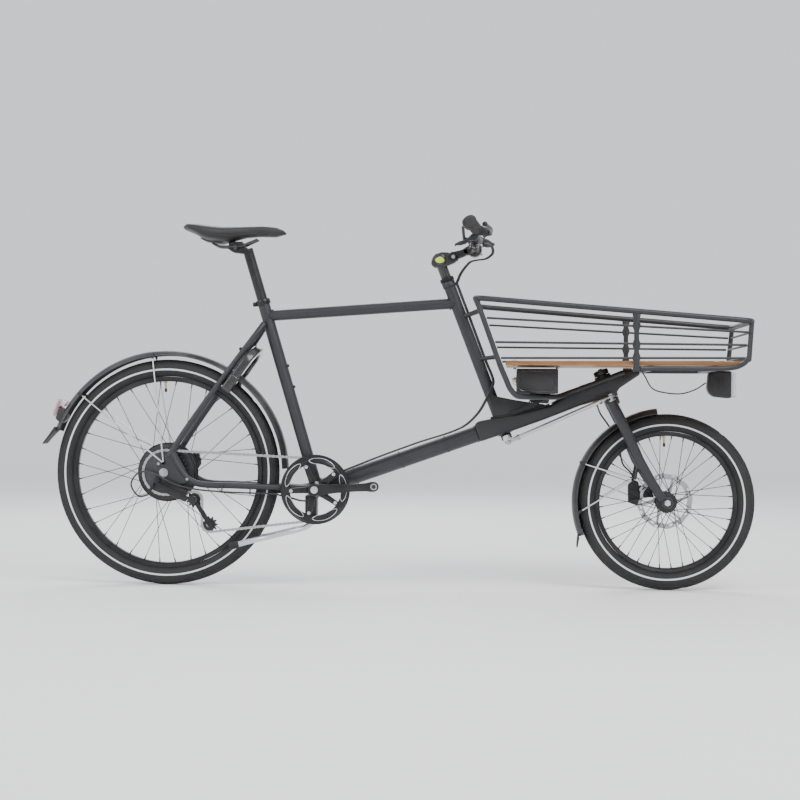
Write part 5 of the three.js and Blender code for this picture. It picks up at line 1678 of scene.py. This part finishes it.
# ---- Cockpit ------------------------------------------------------------------------------
@dataclass
class Cockpit:
    """The riser, folding stem, bar, grips, controls, levers and display."""

    inner: Vector = field(default_factory=lambda: Vector((239, 170, 1021)))
    outer: Vector = field(default_factory=lambda: Vector((224, 325, 1030)))

    def build(self) -> None:
        """Builds the cockpit."""
        self.riser()
        self.stem()
        self.bar()
        for side, name in ((-1, "right"), (1, "left")):
            self.grip(side, name)
            self.controls(side, name)
            self.lever(side, name)
        self.shift_paddle()
        self.display()

    def along(self, s: float, side: int) -> Vector:
        """A point along the straight outer part of the bar, s from 0 to 1."""
        spot = self.inner.lerp(self.outer, s)
        return Vector((spot.x, side * spot.y, spot.z))

    def riser(self) -> None:
        """The glossy riser tube, its quill, the stem's base and its bolt."""
        tube = Shape().turned([(11, 483.8), (14.4, 483.8), (15, 484.6), (15, 541), (11, 541)], HEAD_FOOT, 44,
                              axis=STEER_UP)
        tube.rod(on_head(322), on_head(500), 11, sides=32)
        tube.plate([(104, 934), (101, 941), (102, 949), (106, 960), (113, 969), (131, 974.5), (150, 974),
                    (166, 969), (177, 958), (177, 950), (172, 944), (150, 934), (128, 929), (112, 928)], -15,
                   15, 7, 5)
        tube.rod((127, -20, 951), (127, 20, 951), 17.5, sides=44, bevel=3)
        tube.piece("stem_riser_body", Body.RISER, GLOSS, ["stem_riser"])
        trims = Shape()
        for side in SIDES:
            trims.rod((127, side * 20, 951), (127, side * 22, 951), 9.5, sides=32, bevel=0.8)
            trims.rod((127, side * 22, 951), (127, side * 23.4, 951), 4, sides=6, bevel=0.4)
        trims.piece("stem_riser_bolts", Body.RISER, STEEL)
        oval = [(127 + 13 * math.cos(math.pi * k / 16),
                 950 + 8.5 * math.sin(math.pi * k / 16)) for k in range(32)]
        Shape().plate(oval, -24.2, -22.4, 0.5, 2).piece("stem_oval_label", Body.RISER, LABEL)

    def stem(self) -> None:
        """The adjustable arm with its pivot cheeks and four-bolt bar clamp."""
        arm = Shape()
        for side in SIDES:
            near, far = sorted((side * 13.8, side * 20))
            arm.rod((166, near, 960), (166, far, 960), 15, sides=40, bevel=1.4)
            arm.plate([(160, 948), (200, 964), (224, 972), (224, 990), (196, 982), (156, 972)], near, far,
                      1.8, 3)
        arm.plate([(196, 966), (228, 964), (228, 998), (206, 991), (190, 981)], -20, 20, 4, 3)
        arm.rod((227, -24, 981), (227, 24, 981), 21.5, sides=48, bevel=2.4)
        arm.piece("stem_arm_body", Body.STEM, BLACK, ["stem_arm"])
        bolts = Shape()
        for side in SIDES:
            bolts.rod((166, side * 20, 960), (166, side * 22.5, 960), 6, sides=6, bevel=0.7)
            for z in (970, 992):
                bolts.rod((243, side * 15, z), (250, side * 15, z), 3.6, sides=16, bevel=0.6)
        bolts.piece("stem_bolts", Body.STEM, STEEL)

    def bar(self) -> None:
        """The swept handlebar, thicker in the clamp."""
        half = [(227, 0, 981), (227, 26, 981), (227.5, 42, 981.8), (230, 60, 986), (237, 120, 1014),
                tuple(self.inner), tuple(self.along(0.5, 1)), tuple(self.outer)]
        line = [Vector((x, -y, z)) for x, y, z in reversed(half[1:])] + [Vector(point) for point in half]
        bar = Shape().tube(line, 11.1, 6, 7)
        bar.rod((227, -32, 981), (227, 32, 981), 15.9, sides=44, bevel=1.6)
        for side in SIDES:
            bar.rod((227, side * 32, 981), (227.6, side * 44, 982.4), 15.2, 11.2, sides=44)
        bar.piece("handlebar_tube", Body.STEM, BLACK, ["handlebar"])

    def grip(self, side: int, name: str) -> None:
        """A ribbed grip with a palm wing and an end clamp ring."""
        start, end = self.along(0.28, side), self.along(1.03, side)
        way = (end - start).normalized()
        length = (end - start).length
        profile = [(11.3, 0), (15.4, 0), (16.4, 1.2)]
        ribs = 24
        for i in range(ribs):
            s = 3 + (length - 8) * i / ribs
            step = (length - 8) / ribs
            profile += [(16.6, s), (16.6, s + step * 0.55), (15.6, s + step * 0.65), (15.6, s + step * 0.9)]
        profile += [(16.6, length - 3), (15.6, length), (11.3, length)]
        grip = Shape().turned(profile, start, 40, axis=way)
        low, high = sorted((side * 254, side * 325))
        grip.plate([(199, 1026), (201, 1037), (214, 1049), (228, 1051), (238, 1044), (240, 1031), (234, 1015),
                    (212, 1014)], low, high, 5.5, 5)
        grip.piece(f"grip_moulded_{name}", Body.STEM, GRIP, [f"grip_{name}"], 40)
        cap = Shape().rod(end - way * 1, end + way * 3.2, 14.5, sides=40, bevel=1.6)
        cap.piece(f"grip_cap_{name}", Body.STEM, PLASTIC)

    def controls(self, side: int, name: str) -> None:
        """The lever clamp, its perch and, on the right, the shifter's housing."""
        start, end = self.along(0.04, side), self.along(0.17, side)
        clamp = Shape().rod(start, end, 15.3, sides=40, bevel=1.6)
        near, far = sorted((side * 176.5, side * 196))
        clamp.plate([(238, 1008), (262, 1004), (280, 1006), (282, 1015), (264, 1028), (242, 1034)], near,
                    far, 4, 4)
        clamp.tube(sided([(268, 178, 1012), (264, 160, 1011), (258, 146, 1008)], side), 5, 5, 5)
        if side < 0:
            clamp.plate([(208, 994), (216, 991), (238, 993), (244, 1008), (226, 1013)], near, far, 3, 3)
        clamp.piece(f"lever_perch_{name}", Body.STEM, PLASTIC, [f"{name}_controls"])
        screws = Shape().rod((252, side * 186, 1031), (252, side * 186, 1035), 3.6, sides=6, bevel=0.5)
        screws.rod((274, side * 194.5, 1014), (274, side * 194.5, 1021), 3.8, sides=20, bevel=0.6)
        screws.piece(f"lever_perch_screws_{name}", Body.STEM, STEEL)

    @staticmethod
    def lever(side: int, name: str) -> None:
        """One curved brake lever blade with a rounded tip."""
        body = Body.LEVER_RIGHT if side < 0 else Body.LEVER_LEFT
        lever = Shape().tube(sided([(275, 199.5, 1012), (278, 215, 1016), (276, 250, 1020), (268, 280, 1024),
                                    (263, 298, 1026.5)], side), 5.5, 6, 7)
        lever.ball((262, side * 303, 1027), 7.6)
        lever.piece(f"brake_blade_{name}", body, BLACK, [f"brake_lever_{name}"])

    @staticmethod
    def shift_paddle() -> None:
        """The thumb paddle of the shifter."""
        paddle = Shape().plate([(174, 976), (180, 980), (194, 980), (224, 993), (223, 1000), (190, 992),
                                (176, 985)], -175, -163.5, 2, 3)
        for i in range(4):
            paddle.rod((177 + i * 3.4, -174, 984.5 + i * 1.4), (177 + i * 3.4, -164.5, 984.5 + i * 1.4), 1,
                       sides=10)
        paddle.piece("shift_paddle", Body.SHIFTER, PLASTIC, ["shift_lever"])

    @staticmethod
    def display() -> None:
        """The small display with its screen, button and bracket."""
        case = Shape().plate([(197.5, 991), (204, 992.5), (200, 1042), (191.5, 1041)], -104, -56, 2.6, 4)
        case.plate([(201, 1000), (228, 998), (229, 1006), (201, 1012)], -86, -74, 1.6, 2)
        start, end = Vector((231.5, -88, 998)), Vector((229.4, -72, 991))
        case.rod(start, end, 13.4, sides=36, bevel=1.2)
        case.piece("display_case", Body.STEM, GLOSS, ["display"])
        screen = Shape().plate([(194.6, 1001), (196.2, 1001), (193, 1037), (191.4, 1037)], -99, -61, 0.4, 2)
        screen.piece("display_screen", Body.STEM, LENS)


# ---- Seat ---------------------------------------------------------------------------------
def between(line: Sequence[Point], x: float, fallback: float) -> float:
    """The height of a line of (x, height) points at x, or the fallback outside it."""
    for (x0, h0), (x1, h1) in zip(line, line[1:]):
        if x0 <= x <= x1:
            return h0 + (h1 - h0) * (x - x0) / (x1 - x0)
    return fallback


@dataclass
class Seat:
    """The seat post, its clamp and rails, and the padded saddle."""

    outline: tuple[Point, ...] = ((-622, 0), (-618, 50), (-600, 78), (-560, 86), (-520, 78), (-480, 50),
                                  (-440, 29), (-400, 23), (-340, 19), (-324, 8))
    top_line: tuple[Point, ...] = ((-622, 1047), (-606, 1056), (-573, 1055), (-508, 1048), (-455, 1049),
                                   (-394, 1051), (-352, 1047), (-334, 1040), (-324, 1032))
    low_line: tuple[Point, ...] = ((-622, 1040), (-588, 1026), (-560, 1009), (-535, 1003), (-500, 1001),
                                   (-470, 1009), (-440, 1016), (-402, 1019), (-353, 1018), (-324, 1026))

    def build(self) -> None:
        """Builds post, rails and saddle."""
        self.post()
        self.cushion()

    @staticmethod
    def post() -> None:
        """The post with its clamp head, bolts and two rails."""
        post = Shape().rod(on_seat(420), (-437, 0, 983), 15.2, sides=40)
        post.piece("seat_post_tube", Body.SADDLE_POST, BLACK, ["seatpost"])
        head = Shape().plate([(-494, 984), (-478, 973), (-432, 967), (-423, 978), (-446, 992), (-490, 998)],
                             -17, 17,
                             3, 3)
        head.block((-490, -26, 992), (-448, 26, 1004), 3)
        for i in range(5):
            head.block((-489.6 + i * 8.6, -27, 996), (-484.6 + i * 8.6, 27, 999), 0.8, 2)
        head.rod((-469, -30, 987), (-469, 30, 987), 8, sides=30, bevel=1.2)
        head.piece("seat_clamp", Body.SADDLE_POST, BLACK)
        rails = Shape()
        for side in SIDES:
            rails.tube(sided([(-538, 24, 1000), (-520, 22, 991), (-490, 20, 990), (-452, 20, 992),
                              (-430, 18, 1001),
                              (-406, 14, 1011)], side), 3.5, 5, 8)
            rails.rod((-469, side * 30, 987), (-469, side * 36, 987), 6, sides=6, bevel=0.8)
        rails.piece("saddle_rails", Body.SADDLE_POST, DARK_STEEL)

    def half_width(self, x: float) -> float:
        """The saddle's half width at a place along it."""
        return between(self.outline, x, 4.0)

    def crown(self, x: float) -> float:
        """The saddle's top height at a place along it."""
        return between(self.top_line, x, 1032.0)

    def belly(self, x: float) -> float:
        """The saddle's lower edge height at a place along it."""
        return between(self.low_line, x, 1026.0)

    def section(self, x: float, count: int = 40) -> list[Vector]:
        """One closed cross-section of the saddle, crowned on top and curled at the edges."""
        wide, top, low = max(self.half_width(x), 3.0), self.crown(x), self.belly(x)
        points = []
        for k in range(count):
            turn = 2 * math.pi * k / count
            c, s = math.cos(turn), math.sin(turn)
            y = wide * math.copysign(abs(c) ** 0.72, c)
            middle = low + (top - low) * 0.52
            if s >= 0:
                z = middle + (top - middle) * s ** 0.7 - 3.0 * math.exp(-(y / 7.0) ** 2) * (x < -380)
            else:
                z = middle + (middle - low) * -(abs(s) ** 0.8)
            points.append(Vector((x, y, z)))
        return points

    def cushion(self) -> None:
        """The saddle's cover over its foam, with a lower shell and a seam piping."""
        cover = Shape()
        stations = [-622 + 298 * (0.5 - 0.5 * math.cos(math.pi * k / 44)) for k in range(45)]
        rings = [[cover.bm.verts.new(point) for point in self.section(x)] for x in stations]
        for first, second in zip(rings, rings[1:]):
            for k in range(len(first)):
                m = (k + 1) % len(first)
                cover.bm.faces.new((first[k], first[m], second[m], second[k]))
        cover.bm.faces.new(list(reversed(rings[0])))
        cover.bm.faces.new(rings[-1])
        bmesh.ops.recalc_face_normals(cover.bm, faces=cover.bm.faces[:])
        skin = cover.piece("saddle_cover_skin", Body.SADDLE_POST, COVER, ["saddle"], 60)
        piping = Shape()
        for side in SIDES:
            path = []
            for x in stations[1:-1]:
                wide, top, low = self.half_width(x), self.crown(x), self.belly(x)
                path.append(Vector((x, side * (wide * 0.985 + 0.4), low + (top - low) * 0.5)))
            piping.tube(path, 1.3, 2, 1)
        piping.piece("saddle_piping", Body.SADDLE_POST, PLASTIC)
        shell = Shape()
        shell.plate([(-575, 1014), (-560, 1006), (-535, 1000.5), (-512, 999), (-500, 1003), (-540, 1012)],
                    -34, 34,
                    3, 3)
        shell.piece("saddle_shell", Body.SADDLE_POST, PLASTIC)


# ---- Stand, cables and wiring -------------------------------------------------------------
@dataclass
class Stand:
    """The double-leg stand with its pivot, legs and rubber feet."""

    def build(self) -> None:
        """Builds the stand."""
        legs = Shape()
        for side in SIDES:
            legs.tube(sided([(-240, 33, 188), (-262, 36, 172), (-308, 49, 160), (-362, 53, 146),
                             (-400, 64, 138),
                             (-458, 79, 123)], side), 8, 5, 7)
        legs.piece("stand_legs", Body.STAND, SILVER, ["kickstand"])
        pivot = Shape().rod((-240, -36, 190), (-240, 36, 190), 9.2, sides=32, bevel=1.4)
        for side in SIDES:
            pivot.rod((-240, side * 36, 190), (-240, side * 39, 190), 6.4, sides=6, bevel=0.8)
        pivot.piece("stand_pivot", Body.STAND, BLACK)
        feet = Shape()
        for side in SIDES:
            feet.rod((-448, side * 77, 125.5), (-474, side * 82.5, 119), 10.4, sides=32, bevel=2.4)
            for k in range(3):
                spot = Vector((-454 - 6 * k, side * (78.2 + 1.3 * k), 124 - 1.5 * k))
                way = Vector((-26, side * 5.5, -6.5)).normalized()
                feet.rod(spot, spot + way * 2.4, 11.2, sides=32, bevel=0.6)
        feet.piece("stand_feet", Body.STAND, GRIP)


@dataclass
class Cabling:
    """Every cable, hose and lead, and the ties that hold them."""

    def build(self) -> None:
        """Builds the cables."""
        upper = [(256, -28, 998), (276, -28, 990), (280, -28, 970), (262, -26, 954), (238, -22, 950),
                 (219, -17, 946.5),
                 (211, -14, 942)]
        middle = [(211, -14, 942), (196, -6, 925), (185, 0, 908), (179, 0, 893)]
        lower = [(179, 0, 893), (176, 0, 885), (184.5, 0, 862), (195.5, 0, 833), (206.5, 0, 804),
                 (217, 0, 776)]
        trunk = [(217, 0, 776), (220, 0, 768), (238, 0, 720), (262, 0, 657), (282, -4, 608), (282, -26, 588),
                 (268, -33, 556), (238, -33, 505), (190, -33, 464), (60, -32, 419), (-100, -32, 358),
                 (-184, -36, 318),
                 (-224, -38.5, 262), (-262, -36, 250), (-310, -26, 260), (-352, -32, 270)]
        rear = [(-352, -32, 270), (-420, -46, 272), (-500, -64, 276), (-580, -77, 284), (-640, -84, 300),
                (-700, -84, 330), (-740, -82, 330), (-762, -80, 296), (-740, -77, 262), (-712, -74, 266)]
        first = self.bundle(upper, "cables_at_stem", None, ["control_cables_upper"])
        self.bend(first, Body.STEM, Body.RISER, upper[2], upper[-1])
        second = self.bundle(middle, "cables_at_riser", None, ["control_cables_middle"])
        self.bend(second, Body.RISER, Body.STEERER, middle[0], middle[-1])
        third = self.bundle(lower, "cables_at_steerer", None, ["control_cables_lower"])
        self.bend(third, Body.STEERER, Body.FRAME, lower[1], lower[-1])
        self.bundle(trunk, "cables_on_frame", Body.FRAME, ["frame_cables"])
        Shape().tube(rear, 2.5, 4, 8).piece("gear_cable_rear", Body.FRAME, CABLE)
        self.hose()
        self.ties()

    @staticmethod
    def bend(piece: bpy.types.Object, first: Body, last: Body, start: Point, end: Point) -> None:
        """Bakes the placement of a cable that crosses a joint into its mesh; the cable stays on no body."""
        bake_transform(piece)

    @staticmethod
    def bundle(points: Sequence[Point], name: str, body: Body | None, hides: list[str]) -> bpy.types.Object:
        """Three cables side by side, two thick and one thin."""
        cables = Shape()
        path = [Vector(point) for point in points]
        for (dx, dy), radius in (((-1.6, -2.4), 2.5), ((-1.6, 2.6), 2.5), ((2.6, 0.2), 1.9)):
            cables.tube([p + Vector((dx, dy, 0)) for p in path], radius, 4, 8)
        return cables.piece(name, body, CABLE, hides, 60)

    def hose(self) -> None:
        """The front brake hose and the headlight's lead."""
        hose = [(585, 40, 532), (598, 84, 505), (622, 86, 471), (650, 84, 424), (662, 78, 362),
                (684, 50, 336),
                (690, 38, 324)]
        line = Shape().tube(hose, 2.6, 4, 9).piece("front_hose", None, CABLE, ["front_brake_hose"], 60)
        self.bend(line, Body.FRAME, Body.FORK, hose[1], hose[4])
        lead = [(711, 12, 632), (722, 12, 615), (740, 12, 584), (764, 8, 572), (821, 4, 566), (864, 0, 578),
                (895, 0, 598)]
        Shape().tube(lead, 2, 3, 9).piece("headlight_lead", Body.FRAME, CABLE, ["light_lead"], 60)

    @staticmethod
    def ties() -> None:
        """Small ties that hold the cables to the down tube and chainstay."""
        ties = Shape()
        way = (Vector((236.3, 0, 447.5)) - BRACKET).normalized()
        for s in (120, 260, 400):
            ties.turned([(24.2, -2), (25.4, -2), (25.4, 2), (24.2, 2)], BRACKET + way * s, 48, axis=way)
        for x, y, z in ((-420, -46, 281), (-500, -60, 286)):
            ties.turned([(9.2, -2), (14.5, -1.6), (14.5, 1.6), (9.2, 2)], (x, y + 1, z), 28,
                        axis=Vector((-1, -0.15, 0)))
        ties.piece("cable_ties", Body.FRAME, PLASTIC)


# ---- Studio -------------------------------------------------------------------------------
@dataclass
class Studio:
    """The plain floor and walls, soft lights and the camera."""

    lens: float = 80.37

    def build(self) -> None:
        """Sets the camera, the lights, the world and the ground."""
        self.camera()
        self.world()
        self.ground()
        for name, spot, size, energy in (("key_light", (2.2, -3.2, 4.0), 2.6, 190.0),
                                         ("fill_light", (-3.4, -2.4, 2.6), 3.0, 80.0),
                                         ("rim_light", (-0.6, 3.4, 3.2), 2.4, 90.0)):
            self.light(name, spot, size, energy)

    def camera(self) -> None:
        """Places the camera at the measured viewpoint."""
        data = bpy.data.cameras.new("camera")
        data.lens = self.lens
        data.sensor_width = 36.0
        data.clip_end = 60.0
        camera = bpy.data.objects.new("camera", data)
        bpy.context.scene.collection.objects.link(camera)
        camera.matrix_world = (Matrix.Translation((0.3479, -5.1924,
                                                   0.5442)) @ Matrix.Rotation(math.radians(3.7), 4, "Z")
                               @ Matrix.Rotation(math.radians(90), 4,
                                                 "X") @ Matrix.Rotation(math.radians(0.29), 4, "Z"))
        bpy.context.scene.camera = camera

    @staticmethod
    def world() -> None:
        """A soft, even surround."""
        world = bpy.data.worlds.new("studio")
        world.use_nodes = True
        background = world.node_tree.nodes["Background"]
        background.inputs["Color"].default_value = (0.93, 0.95, 1.0, 1)
        background.inputs["Strength"].default_value = 1.15
        bpy.context.scene.world = world

    @staticmethod
    def light(name: str, spot: Point, size: float, energy: float) -> None:
        """A soft square light aimed at the middle of the bicycle."""
        data = bpy.data.lights.new(name, "AREA")
        data.shape = "SQUARE"
        data.size = size
        data.energy = energy
        lamp = bpy.data.objects.new(name, data)
        lamp.location = spot
        aim = Vector((0.0, 0.0, 0.45)) - Vector(spot)
        lamp.rotation_euler = aim.to_track_quat("-Z", "Y").to_euler()
        bpy.context.scene.collection.objects.link(lamp)

    @staticmethod
    def ground() -> None:
        """A wide round floor that curves up into a low wall, well outside every camera."""
        bm = bmesh.new()
        profile = [(0.0, 0.0), (4.0, 0.0), (8.0, 0.0)]
        profile += [(8.0 + 3.0 * math.sin(math.radians(a)), 3.0 - 3.0 * math.cos(math.radians(a)))
                    for a in range(5, 91, 5)] + [(11.0, 4.8)]
        verts = [bm.verts.new((r, 0.0, z)) for r, z in profile]
        edges = [bm.edges.new(pair) for pair in zip(verts, verts[1:])]
        bmesh.ops.spin(bm, geom=verts + edges, cent=(0, 0, 0), axis=(0, 0, 1), dvec=(0, 0, 0),
                       angle=2 * math.pi, steps=96, use_merge=True, use_duplicate=False)
        bmesh.ops.remove_doubles(bm, verts=bm.verts[:], dist=1e-5)
        for face in bm.faces:
            face.smooth = True
        mesh = bpy.data.meshes.new("floor")
        bm.to_mesh(mesh)
        bm.free()
        floor = bpy.data.objects.new("floor", mesh)
        material = bpy.data.materials.new("floor_matte")
        material.use_nodes = True
        shader = material.node_tree.nodes["Principled BSDF"]
        shader.inputs["Base Color"].default_value = (0.88, 0.88, 0.88, 1)
        shader.inputs["Roughness"].default_value = 0.85
        mesh.materials.append(material)
        bpy.context.scene.collection.objects.link(floor)


def main() -> None:
    """Builds the studio, then every assembly of the bicycle in order."""
    logging.basicConfig(level=logging.INFO, format="%(message)s")
    Studio().build()
    Wheel("rear", REAR_AXLE, 279.5, 330, 266, 78, 24, Body.REAR_WHEEL, REAR_RUBBER).build()
    Wheel("front", FRONT_AXLE, 203, 254, 191, 27, 28, Body.FRONT_WHEEL, FRONT_RUBBER, treads=116).build()
    Hubs().build()
    Drivetrain().build()
    MainFrame().build()
    Basket().build()
    Deck().build()
    PowerPack().build()
    Lamps().build()
    Fenders().build()
    RingLock().build()
    Calipers().build()
    Steering().build()
    Cockpit().build()
    Seat().build()
    Stand().build()
    Cabling().build()


if __name__ == "__main__":
    main()
